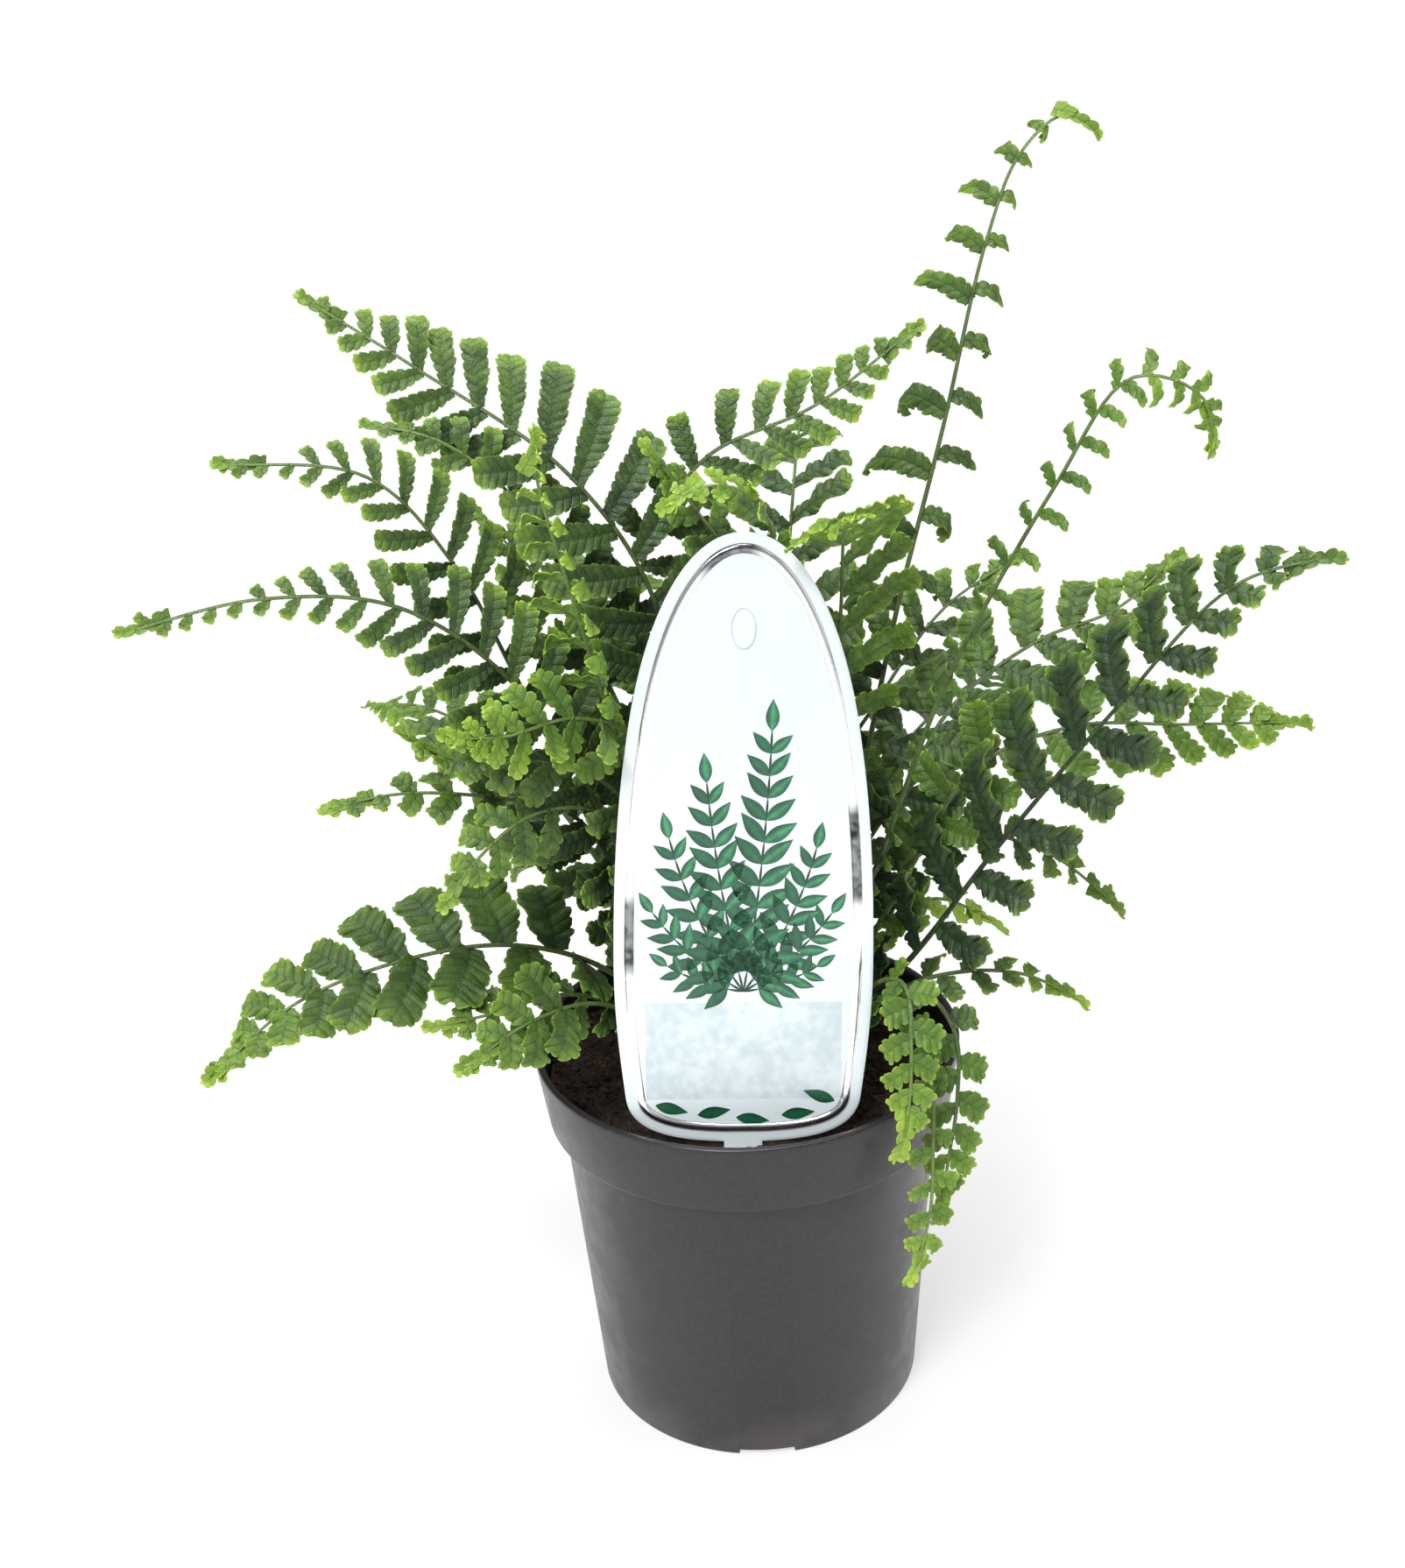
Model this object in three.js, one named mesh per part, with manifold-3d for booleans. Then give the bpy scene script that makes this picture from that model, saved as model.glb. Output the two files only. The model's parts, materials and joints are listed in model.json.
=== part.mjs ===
// A potted crested scaly male fern: a black nursery pot filled with soil, the crown that the fronds
// grow from, the fronds, and a plant label pushed into the soil at the front.
// Millimetres, +Z up, +X to the right and +Y to the back, origin at the middle of the pot's underside.
import * as THREE from "three";
import { mergeVertices } from "three/addons/utils/BufferGeometryUtils.js";
import Module from "manifold-3d";

const wasm = await Module();
wasm.setup();

const DEG = Math.PI / 180;
const GAP = 0.3; // clearance between pieces that touch

const POT = {
  height: 120,
  rimRadius: 65,
  rimWidth: 2.2,
  wall: 1.5,
  collarHeight: 23,
  collarFootRadius: 62,
  shoulderRadius: 57.8,
  footRadius: 50.8,
  footWidth: 5,
  floorLift: 2.5,
  floorThickness: 2,
  padRadius: 12,
  sides: 28,
  drainCount: 6,
  drainRing: 31,
  drainRadius: 4,
  notchCount: 4,
  notchWidth: 17,
  notchHeight: 2,
};

const SOIL = { level: 109, roughness: 1.2, clearance: 0.8, rings: 3, sides: 20 };

const CROWN = { radius: 27, bottom: 103, rim: 109, top: 117.5, flat: 23, sides: 12, seatDepth: 4.5 };
// Frond bases stand on three rings of the crown: radius, number of places and bearing of the first.
const CROWN_RINGS = [
  { radius: 6.5, places: 6, first: 0 },
  { radius: 13.5, places: 12, first: 15 },
  { radius: 20.5, places: 18, first: 0 },
];

const LABEL = {
  height: 175.5,
  thickness: 0.9,
  corner: [33.5, 14],
  belly: [36.3, 57],
  shoulder: [32, 118],
  foot: [-3, -46, 110.9],
  lean: 7.5,
  slant: -2.6,
  stakeWidth: 11,
  stakeLength: 27,
  stakePoint: 9,
};

const STALK = { baseWidth: 2.5, tipWidth: 0.8, baseDepth: 2, tipDepth: 0.8, step: 16, trim: 7 };
const PINNA = {
  thickness: 0.65,
  shortest: 4,
  narrowest: 1.2,
  halfPerLength: 0.115,
  halfPerSpacing: 0.42,
  footAngle: 80,
  tipAngle: 52,
  twist: 8,
  sweep: 0.1,
  crowding: 0.5,
  fold: 0.16,
  skew: 0.03,
  clearance: 3.2,
  ownClearance: 2.7,
  sampleStep: 2.3,
};

const CREST = { length: 8, half: 3, curl: 10 };

const COLOURS = {
  pot: "#3b393b",
  soil: "#2b1d16",
  crown: "#4a3524",
  label: "#e8f1f3",
  leaf: "#3f7a2c",
  youngLeaf: "#7fb443",
};

// Each frond: its ring and place on the crown, the points its stalk passes through after that, and
//   pairs    leaflets on each side          span   longest leaflet
//   bare     share of the stalk with none   roll   degrees that the blade is turned about its stalk
//   lift     degrees that leaflets rise     curl   degrees that a leaflet bends down along its length
//   broad    leaflet width, 1 is usual      taper  how early the blade narrows towards its tip
//   sweep    how far leaflets bend towards the frond's tip, PINNA.sweep unless given
//   crowding how much closer leaflets stand towards the tip, PINNA.crowding unless given
//   right    length of the right-hand leaflets as a share of the left-hand ones', 1 unless given
//   young    true on a frond of the lighter green
const FRONDS = [
  {
    name: "frond_left_high", seat: [0, 3],
    via: [[-17, 6, 190], [-20, 5, 257], [-42, 10, 294], [-84, 19, 325], [-115, 26, 345]],
    pairs: 16, span: 28, bare: 0.3, roll: 60, lift: 10, curl: 16, broad: 1, taper: 0.95,
  },
  {
    name: "frond_left_crested", seat: [1, 6],
    via: [[-38, 0, 180], [-60, -4, 240], [-74, -9, 276], [-94, -13, 302], [-135, -18, 309]],
    pairs: 16, span: 25, bare: 0.3, roll: 55, lift: 12, curl: 22, broad: 0.78, taper: 1.2,
  },
  {
    name: "frond_left_between", seat: [1, 5],
    via: [[-28, 6, 190], [-39, 4, 250], [-57, 5, 289], [-76, 6, 306], [-99, 8, 312]],
    pairs: 12, span: 20, bare: 0.42, roll: 45, lift: 12, curl: 20, broad: 0.9, taper: 1,
  },
  {
    name: "frond_left_long", seat: [1, 7],
    via: [[-30, -14, 180], [-56, -22, 241], [-86, -31, 271], [-120, -39, 278], [-158, -48, 273]],
    pairs: 19, span: 24, bare: 0.28, roll: 62, lift: 10, curl: 18, broad: 0.85, taper: 1.7,
  },
  {
    name: "frond_left_young", seat: [0, 4], young: true,
    via: [[-18, -10, 180], [-31, -14, 220], [-40, -33, 268], [-46, -56, 316], [-43, -60, 325]],
    pairs: 12, span: 14, bare: 0.34, roll: 0, lift: 4, curl: 60, broad: 1, taper: 0.8,
  },
  {
    name: "frond_left_pale", seat: [1, 9], young: true,
    via: [[-12, -18, 180], [-27, -21, 226], [-42, -32, 238], [-61, -48, 240], [-76, -61, 246]],
    pairs: 10, span: 17, bare: 0.5, roll: 60, lift: 8, curl: 12, broad: 1.15, taper: 0.8,
  },
  {
    name: "frond_left_under", seat: [1, 8],
    via: [[-23, -17, 172], [-34, -22, 212], [-55, -29, 225], [-75, -33, 228], [-91, -36, 239]],
    pairs: 8, span: 16, bare: 0.45, roll: 20, lift: 10, curl: 18, broad: 1.1, taper: 0.9,
  },
  {
    name: "frond_left_forked", seat: [2, 10],
    via: [[-32, -9, 168], [-46, -18, 203], [-67, -25, 213], [-92, -33, 219], [-113, -40, 218]],
    pairs: 9, span: 18, bare: 0.3, roll: 30, lift: 12, curl: 24, broad: 1.2, taper: 1.1,
  },
  {
    name: "frond_left_drop", seat: [2, 12],
    via: [[-24, -21, 170], [-37, -24, 205], [-56, -41, 214], [-72, -55, 206], [-80, -61, 196]],
    pairs: 8, span: 14, bare: 0.45, roll: 50, lift: 6, curl: 16, broad: 1.1, taper: 0.8,
  },
  {
    name: "frond_left_arching", seat: [2, 9],
    via: [[-38, -8, 146], [-64, -22, 165], [-92, -33, 169], [-125, -48, 164], [-149, -60, 148]],
    pairs: 9, span: 22, bare: 0.26, roll: 38, lift: 16, curl: 14, broad: 1.8, taper: 0.95,
  },
  {
    name: "frond_left_low_thin", seat: [2, 11],
    via: [[-38, -25, 146], [-54, -36, 156], [-72, -45, 156], [-91, -52, 156]],
    pairs: 7, span: 14, bare: 0.38, roll: 42, lift: 8, curl: 14, broad: 0.9, taper: 0.9,
  },
  {
    name: "frond_left_low_broad", seat: [2, 13],
    via: [[-26, -27, 138], [-42, -35, 152], [-60, -52, 157], [-79, -67, 151]],
    pairs: 6, span: 16, bare: 0.34, roll: 48, lift: 6, curl: 14, broad: 1.5, taper: 0.8,
  },
  {
    name: "frond_top_right", seat: [0, 2],
    via: [[-22, 18, 200], [-24, 18, 262], [-5, 21, 293], [28, 27, 306], [60, 34, 327]],
    pairs: 14, span: 16, bare: 0.44, roll: -58, lift: 8, curl: 16, broad: 1, taper: 0.8,
  },
  {
    name: "frond_top_hooked", seat: [0, 5], young: true,
    via: [[9, -11, 190], [16, -12, 262], [7, -18, 293], [-6, -22, 297], [-18, -26, 291]],
    pairs: 11, span: 10, bare: 0.5, roll: 40, lift: 8, curl: 14, broad: 1, taper: 0.7,
  },
  {
    name: "frond_top_left_small", seat: [0, 1],
    via: [[4, 3, 200], [3, 1, 265], [-8, 0, 286], [-22, -2, 306]],
    pairs: 8, span: 14, bare: 0.5, roll: 55, lift: 8, curl: 16, broad: 1, taper: 0.8,
  },
  {
    name: "frond_top_front", seat: [0, 0], young: true,
    via: [[22, 0, 180], [31, -4, 250], [31, -26, 284], [31, -52, 296]],
    pairs: 10, span: 24, bare: 0.42, roll: 0, lift: 10, curl: 20, broad: 0.78, taper: 0.6,
  },
  {
    name: "frond_tall", seat: [1, 0],
    via: [
      [34, 12, 180], [49, 16, 247], [63, 19, 300], [75, 21, 350],
      [84, 22, 372], [96, 24, 381], [107, 24, 375],
    ],
    pairs: 13, span: 24, bare: 0.3, roll: -62, lift: 10, curl: 80, broad: 1.1, taper: 1, sweep: -0.5, right: 0.5,
  },
  {
    name: "frond_hooked", seat: [1, 10], young: true,
    via: [[38, -18, 180], [58, -25, 240], [85, -32, 295], [103, -36, 323], [120, -38, 318], [124, -40, 301]],
    pairs: 16, span: 9, bare: 0.4, roll: -48, lift: 10, curl: 40, broad: 0.8, taper: 0.4, sweep: -0.3,
    crowding: 0.8, right: 0.8,
  },
  {
    name: "frond_right_large", seat: [1, 11],
    via: [[44, -18, 147], [72, -29, 192], [102, -37, 235], [130, -44, 270], [156, -50, 279]],
    pairs: 11, span: 28, bare: 0.22, roll: -60, lift: 8, curl: 18, broad: 1.2, taper: 0.9,
    right: 0.68,
  },
  {
    name: "frond_right_behind", seat: [2, 1],
    via: [[44, 6, 176], [63, 9, 218], [90, 16, 236], [114, 21, 243], [134, 26, 258]],
    pairs: 9, span: 20, bare: 0.35, roll: -52, lift: 8, curl: 16, broad: 1.3, taper: 0.8,
  },
  {
    name: "frond_right_pale", seat: [2, 0], young: true,
    via: [[48, -4, 170], [70, -4, 206], [98, -2, 216], [130, 0, 214], [168, 2, 212]],
    pairs: 11, span: 17, bare: 0.34, roll: -45, lift: 6, curl: 14, broad: 1.35, taper: 0.7,
  },
  {
    name: "frond_right_thin", seat: [2, 2],
    via: [[44, 12, 160], [66, 8, 179], [92, 8, 172], [118, 8, 149]],
    pairs: 8, span: 10, bare: 0.35, roll: -40, lift: 6, curl: 18, broad: 1.1, taper: 1,
  },
  {
    name: "frond_right_low", seat: [2, 17],
    via: [[34, -10, 129], [54, -14, 143], [80, -15, 144], [103, -14, 131]],
    pairs: 7, span: 9, bare: 0.3, roll: -20, lift: 8, curl: 18, broad: 1.1, taper: 1.1,
  },
  {
    name: "frond_right_yellow", seat: [2, 3], young: true,
    via: [[40, 17, 142], [60, 18, 153], [84, 19, 140]],
    pairs: 6, span: 10, bare: 0.36, roll: -20, lift: 6, curl: 16, broad: 1.2, taper: 0.8,
  },
  {
    name: "frond_hanging_short", seat: [2, 14], young: true,
    via: [[26, -29, 142], [40, -40, 158], [44, -51, 160], [44, -59, 150], [43, -64, 134], [40, -67, 116]],
    pairs: 7, span: 7.5, bare: 0.5, roll: -35, lift: 4, curl: 8, broad: 1.8, taper: 0.5,
  },
  {
    name: "frond_hanging_broad", seat: [2, 16], young: true,
    via: [[38, -25, 138], [51, -34, 149], [58, -44, 142], [58, -50, 124], [55, -53, 105], [52, -56, 86]],
    pairs: 7, span: 8.5, bare: 0.5, roll: -38, lift: 4, curl: 10, broad: 1.7, taper: 0.6,
  },
  {
    name: "frond_hanging_long", seat: [2, 15], young: true,
    via: [
      [32, -28, 142], [44, -44, 150], [50, -53, 134], [50, -58, 110],
      [49, -60, 93], [46, -62, 81], [42, -64, 70],
    ],
    pairs: 5, span: 7, bare: 0.65, roll: -28, lift: 4, curl: 20, broad: 1.1, taper: 0.6,
  },
  {
    name: "frond_back_left_upper", seat: [1, 4],
    via: [[-22, 22, 180], [-37, 32, 226], [-56, 42, 256], [-76, 52, 276]],
    pairs: 9, span: 24, bare: 0.28, roll: 35, lift: 10, curl: 18, broad: 1, taper: 0.9,
  },
  {
    name: "frond_back_right_upper", seat: [1, 1],
    via: [[22, 22, 180], [44, 33, 212], [66, 43, 238], [92, 52, 252]],
    pairs: 9, span: 22, bare: 0.28, roll: -35, lift: 10, curl: 18, broad: 1, taper: 0.9,
  },
  {
    name: "frond_back_right_inner", seat: [2, 4],
    via: [[36, 30, 160], [56, 36, 184], [84, 44, 196]],
    pairs: 7, span: 18, bare: 0.3, roll: -30, lift: 8, curl: 16, broad: 1.1, taper: 0.9,
  },
  {
    name: "frond_back_tall", seat: [1, 2],
    via: [[12, 34, 190], [20, 60, 246], [26, 92, 278], [30, 126, 280]],
    pairs: 11, span: 28, bare: 0.28, roll: 8, lift: 10, curl: 20, broad: 1, taper: 0.95,
  },
  {
    name: "frond_back_middle", seat: [1, 3],
    via: [[-12, 36, 164], [-22, 68, 208], [-32, 106, 230], [-40, 144, 226]],
    pairs: 11, span: 27, bare: 0.28, roll: -6, lift: 10, curl: 20, broad: 1, taper: 0.95,
  },
  {
    name: "frond_back_right", seat: [2, 5],
    via: [[30, 38, 150], [54, 68, 180], [82, 98, 192], [108, 128, 184]],
    pairs: 10, span: 26, bare: 0.27, roll: -10, lift: 12, curl: 18, broad: 1.05, taper: 0.95,
  },
  {
    name: "frond_back_left", seat: [2, 8],
    via: [[-36, 28, 152], [-64, 54, 186], [-96, 80, 200], [-124, 104, 194]],
    pairs: 10, span: 26, bare: 0.27, roll: 10, lift: 12, curl: 18, broad: 1.05, taper: 0.95,
  },
  {
    name: "frond_back_low", seat: [2, 6],
    via: [[2, 44, 138], [4, 78, 148], [6, 110, 136], [8, 134, 112]],
    pairs: 8, span: 21, bare: 0.3, roll: 0, lift: 8, curl: 16, broad: 1.15, taper: 0.9,
  },
  {
    name: "frond_back_left_low", seat: [2, 7],
    via: [[-24, 42, 142], [-46, 72, 150], [-66, 98, 138], [-80, 116, 120]],
    pairs: 8, span: 19, bare: 0.3, roll: 6, lift: 8, curl: 16, broad: 1.15, taper: 0.9,
  },
];

const clamp01 = (t) => Math.min(1, Math.max(0, t));
const lerp = (a, b, t) => a + (b - a) * t;
const fraction = (x) => x - Math.floor(x);

// A repeatable spread of values in -1..1: count times an irrational step, wrapped round.
const SPREADS = [0.6180339887, 0.4142135624, 0.7320508076, 0.2360679775];
const wobble = (count, which, salt) => 2 * fraction((count + 1) * SPREADS[which] + salt * 0.37) - 1;

// Solids for cutting and joining

function manifoldOf(geometry) {
  const bare = geometry.index ? geometry.toNonIndexed() : geometry.clone();
  bare.deleteAttribute("normal");
  bare.deleteAttribute("uv");
  const merged = mergeVertices(bare, 1e-4);
  return new wasm.Manifold(
    new wasm.Mesh({
      numProp: 3,
      vertProperties: new Float32Array(merged.attributes.position.array),
      triVerts: new Uint32Array(merged.index.array),
    }),
  );
}

function geometryOf(solid) {
  const made = solid.getMesh();
  const geometry = new THREE.BufferGeometry();
  geometry.setAttribute("position", new THREE.BufferAttribute(made.vertProperties, 3));
  geometry.setIndex(new THREE.BufferAttribute(made.triVerts, 1));
  geometry.computeVertexNormals();
  return geometry;
}

// A profile of [radius, height] points turned about Z.
function turned(profile, sides) {
  const points = profile.map(([r, z]) => new THREE.Vector2(r, z));
  return new THREE.LatheGeometry(points, sides).rotateX(Math.PI / 2);
}

// The pot

const collarFoot = POT.height - POT.collarHeight;

function innerRadius(z) {
  if (z > collarFoot + 2) {
    const t = (z - collarFoot - 2) / (POT.height - collarFoot - 2);
    return lerp(POT.collarFootRadius, POT.rimRadius, t) - POT.rimWidth + 0.2;
  }
  return lerp(POT.footRadius, POT.shoulderRadius, z / collarFoot) - POT.wall;
}

function potProfile() {
  const floorTop = POT.floorLift + POT.floorThickness;
  return [
    [0, 0],
    [POT.padRadius, 0],
    [POT.padRadius + 1, POT.floorLift],
    [POT.footRadius - POT.footWidth - 1, POT.floorLift],
    [POT.footRadius - POT.footWidth, 0],
    [POT.footRadius - 0.8, 0],
    [POT.footRadius, 1.2],
    [POT.shoulderRadius, collarFoot - 0.5],
    [POT.collarFootRadius, collarFoot + 0.5],
    [POT.rimRadius, POT.height - 1],
    [POT.rimRadius - 0.5, POT.height],
    [POT.rimRadius - POT.rimWidth, POT.height],
    [innerRadius(collarFoot + 2.01), collarFoot + 2],
    [innerRadius(collarFoot - 2), collarFoot - 2],
    [innerRadius(floorTop), floorTop],
    [0, floorTop],
  ];
}

function potGeometry() {
  let pot = manifoldOf(turned(potProfile(), POT.sides));
  for (let i = 0; i < POT.drainCount; i++) {
    const hole = new THREE.CylinderGeometry(POT.drainRadius, POT.drainRadius, 4 * POT.floorLift, 8);
    hole.rotateX(Math.PI / 2);
    hole.translate(POT.drainRing, 0, POT.floorLift);
    hole.rotateZ((i + 0.5) * (360 / POT.drainCount) * DEG);
    pot = pot.subtract(manifoldOf(hole));
  }
  for (let i = 0; i < POT.notchCount; i++) {
    const notch = new THREE.BoxGeometry(POT.notchWidth, 3 * POT.footWidth, 2 * POT.notchHeight);
    notch.translate(0, -POT.footRadius, 0);
    notch.rotateZ((i * 360 * DEG) / POT.notchCount);
    pot = pot.subtract(manifoldOf(notch));
  }
  return geometryOf(pot);
}

// The soil: a plug that fills the pot, with a lumpy top and plain holes for what stands in it

function soilHeight(x, y) {
  const long = Math.sin(x * 0.13 + 1) * Math.cos(y * 0.11 - 0.4);
  const short = Math.sin(x * 0.37 - 0.6) * Math.sin(y * 0.41 + 0.9);
  return SOIL.level + SOIL.roughness * (0.6 * long + 0.4 * short);
}

function soilGeometry(holes) {
  const floor = POT.floorLift + POT.floorThickness + GAP;
  const topRadius = innerRadius(SOIL.level) - SOIL.clearance;
  const profile = [
    [0, floor],
    [innerRadius(floor) - SOIL.clearance, floor],
    [innerRadius(collarFoot - 2) - SOIL.clearance, collarFoot - 1.5],
    [innerRadius(collarFoot + 2.01) - SOIL.clearance, collarFoot + 3.5],
  ];
  for (let ring = SOIL.rings; ring >= 0; ring--) profile.push([(topRadius * ring) / SOIL.rings, SOIL.level]);
  const plug = turned(profile, SOIL.sides);
  const at = plug.attributes.position;
  for (let i = 0; i < at.count; i++) {
    if (at.getZ(i) > SOIL.level - 0.01) at.setZ(i, soilHeight(at.getX(i), at.getY(i)));
  }
  return geometryOf(holes.reduce((soil, hole) => soil.subtract(hole), manifoldOf(plug)));
}

// The crown: a low flat-topped mound of root stock and old frond bases, sunk in the soil

function crownProfile(grow, top) {
  return [
    [0, CROWN.bottom - grow],
    [CROWN.radius - 5 + grow, CROWN.bottom - grow],
    [CROWN.radius + grow, CROWN.rim],
    ...top,
  ];
}

function crownSurface(radius) {
  return lerp(CROWN.top, CROWN.rim, clamp01((radius - CROWN.flat) / (CROWN.radius - CROWN.flat)));
}

function crownGeometry(holes) {
  const crown = manifoldOf(turned(crownProfile(0, [[CROWN.flat, CROWN.top], [0, CROWN.top]]), CROWN.sides));
  return geometryOf(holes.reduce((solid, hole) => solid.subtract(hole), crown));
}

// The well in the soil that the crown sits in, open at the top
function crownWell() {
  const open = CROWN.top + 10;
  return manifoldOf(turned(crownProfile(GAP, [[CROWN.radius + GAP, open], [0, open]]), CROWN.sides));
}

// The label: a flat tag on a pointed stake, leaning back a little

const labelTurn = new THREE.Matrix4()
  .makeTranslation(...LABEL.foot)
  .multiply(new THREE.Matrix4().makeRotationX((90 - LABEL.lean) * DEG))
  .multiply(new THREE.Matrix4().makeRotationZ(LABEL.slant * DEG));
const labelFrame = labelTurn.clone().invert();

function labelShape() {
  const [cornerX, cornerY] = LABEL.corner;
  const [bellyX, bellyY] = LABEL.belly;
  const [shoulderX, shoulderY] = LABEL.shoulder;
  const stake = LABEL.stakeWidth / 2;
  const top = LABEL.height;
  const shape = new THREE.Shape();
  shape.moveTo(0, -LABEL.stakeLength);
  shape.lineTo(stake, LABEL.stakePoint - LABEL.stakeLength);
  shape.lineTo(stake, 0);
  shape.bezierCurveTo(0.6 * cornerX, 0.5, cornerX - 1, 3, cornerX, cornerY);
  shape.bezierCurveTo(cornerX + 1.7, 28, bellyX + 0.3, 42, bellyX, bellyY);
  shape.bezierCurveTo(bellyX - 0.3, 80, shoulderX + 2.8, 100, shoulderX, shoulderY);
  shape.bezierCurveTo(shoulderX - 4, 148, 17, top, 0, top);
  shape.bezierCurveTo(-17, top, 4 - shoulderX, 148, -shoulderX, shoulderY);
  shape.bezierCurveTo(-shoulderX - 2.8, 100, 0.3 - bellyX, 80, -bellyX, bellyY);
  shape.bezierCurveTo(-bellyX - 0.3, 42, -cornerX - 1.7, 28, -cornerX, cornerY);
  shape.bezierCurveTo(1 - cornerX, 3, -0.6 * cornerX, 0.5, -stake, 0);
  shape.lineTo(-stake, LABEL.stakePoint - LABEL.stakeLength);
  return shape;
}

function labelGeometry() {
  const options = { depth: LABEL.thickness, bevelEnabled: false, curveSegments: 4 };
  return new THREE.ExtrudeGeometry(labelShape(), options).translate(0, 0, -LABEL.thickness / 2);
}

// Half of the label's width at a height above its lower edge
function labelHalfWidth(height) {
  const arch = (height - LABEL.shoulder[1]) / (LABEL.height - LABEL.shoulder[1]);
  return arch < 0 ? LABEL.belly[0] : LABEL.shoulder[0] * Math.sqrt(Math.max(0, 1 - arch * arch));
}

// The slot that the stake stands in, and its clearance in the soil
function labelSlot() {
  const half = LABEL.stakeWidth / 2 + GAP;
  const slot = new THREE.Shape();
  slot.moveTo(-half, 8);
  slot.lineTo(-half, LABEL.stakePoint - LABEL.stakeLength - GAP);
  slot.lineTo(0, -LABEL.stakeLength - 2 * GAP);
  slot.lineTo(half, LABEL.stakePoint - LABEL.stakeLength - GAP);
  slot.lineTo(half, 8);
  const depth = LABEL.thickness + 2 * GAP;
  const geometry = new THREE.ExtrudeGeometry(slot, { depth, bevelEnabled: false });
  return manifoldOf(geometry.translate(0, 0, -depth / 2).applyMatrix4(labelTurn));
}

// A sheet of points and triangles, given thickness to make a closed solid

class Sheet {
  constructor() {
    this.points = [];
    this.triangles = [];
  }

  // Adds a point with its normal and half of the thickness there, and returns its number.
  add(point, normal, half) {
    this.points.push({ point, normal, half });
    return this.points.length - 1;
  }

  // Adds a quad a, b, c, d as two triangles, turned round where flip says so.
  quad(a, b, c, d, flip) {
    this.triangle(a, b, c, flip);
    this.triangle(a, c, d, flip);
  }

  triangle(a, b, c, flip) {
    this.triangles.push(flip ? [a, c, b] : [a, b, c]);
  }

  // Both faces split alike, joined by a wall along every edge that only one triangle has.
  solid() {
    const position = [];
    for (const { point, normal, half } of this.points) {
      position.push(...point.clone().addScaledVector(normal, half).toArray());
      position.push(...point.clone().addScaledVector(normal, -half).toArray());
    }
    const index = [];
    const edges = new Set();
    for (const [a, b, c] of this.triangles) {
      index.push(2 * a, 2 * b, 2 * c, 2 * a + 1, 2 * c + 1, 2 * b + 1);
      for (const [p, q] of [[a, b], [b, c], [c, a]]) edges.add(p + "," + q);
    }
    for (const edge of edges) {
      const [p, q] = edge.split(",").map(Number);
      if (edges.has(q + "," + p)) continue;
      index.push(2 * p, 2 * p + 1, 2 * q + 1, 2 * p, 2 * q + 1, 2 * q);
    }
    const geometry = new THREE.BufferGeometry();
    geometry.setAttribute("position", new THREE.Float32BufferAttribute(position, 3));
    geometry.setIndex(index);
    geometry.computeVertexNormals();
    return geometry;
  }
}

// Fronds

// The stalk's line, and at each point the way along it, out to its right side and up from its blade.
class Stalk {
  constructor(frond) {
    const [ring, place] = frond.seat;
    const { radius, places, first } = CROWN_RINGS[ring];
    const bearing = (first + (place * 360) / places) * DEG;
    const base = new THREE.Vector3(radius * Math.cos(bearing), radius * Math.sin(bearing), 0);
    base.z = crownSurface(radius) - CROWN.seatDepth;
    const points = [base, ...frond.via.map((p) => new THREE.Vector3(...p))];
    this.curve = new THREE.CatmullRomCurve3(points, false, "centripetal");
    this.curve.arcLengthDivisions = 200;
    this.whole = this.curve.getLength();
    this.length = this.whole - STALK.trim;
    const reach = points[points.length - 1].clone().sub(base);
    const heading = Math.atan2(reach.y, reach.x);
    this.level = new THREE.Vector3(Math.sin(heading), -Math.cos(heading), 0);
    this.roll = frond.roll * DEG;
  }

  frame(share) {
    const t = (clamp01(share) * this.length) / this.whole;
    const at = this.curve.getPointAt(t);
    const along = this.curve.getTangentAt(t);
    const side = this.level.clone().addScaledVector(along, -this.level.dot(along)).normalize();
    const up = side.clone().cross(along);
    const turn = this.roll * clamp01(share * 2.5);
    const right = side.clone().multiplyScalar(Math.cos(turn)).addScaledVector(up, Math.sin(turn));
    return { at, along, right, up: right.clone().cross(along) };
  }

  halfWidth(share) {
    return lerp(STALK.baseWidth, STALK.tipWidth, Math.pow(share, 0.7)) / 2;
  }

  halfDepth(share) {
    return lerp(STALK.baseDepth, STALK.tipDepth, Math.pow(share, 0.7)) / 2;
  }
}

// The first vector turned towards the second by an angle, and the second turned on by as much.
function turnedPair(first, second, angle) {
  const [c, s] = [Math.cos(angle), Math.sin(angle)];
  return [
    first.clone().multiplyScalar(c).addScaledVector(second, s),
    second.clone().multiplyScalar(c).addScaledVector(first, -s),
  ];
}

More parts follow.
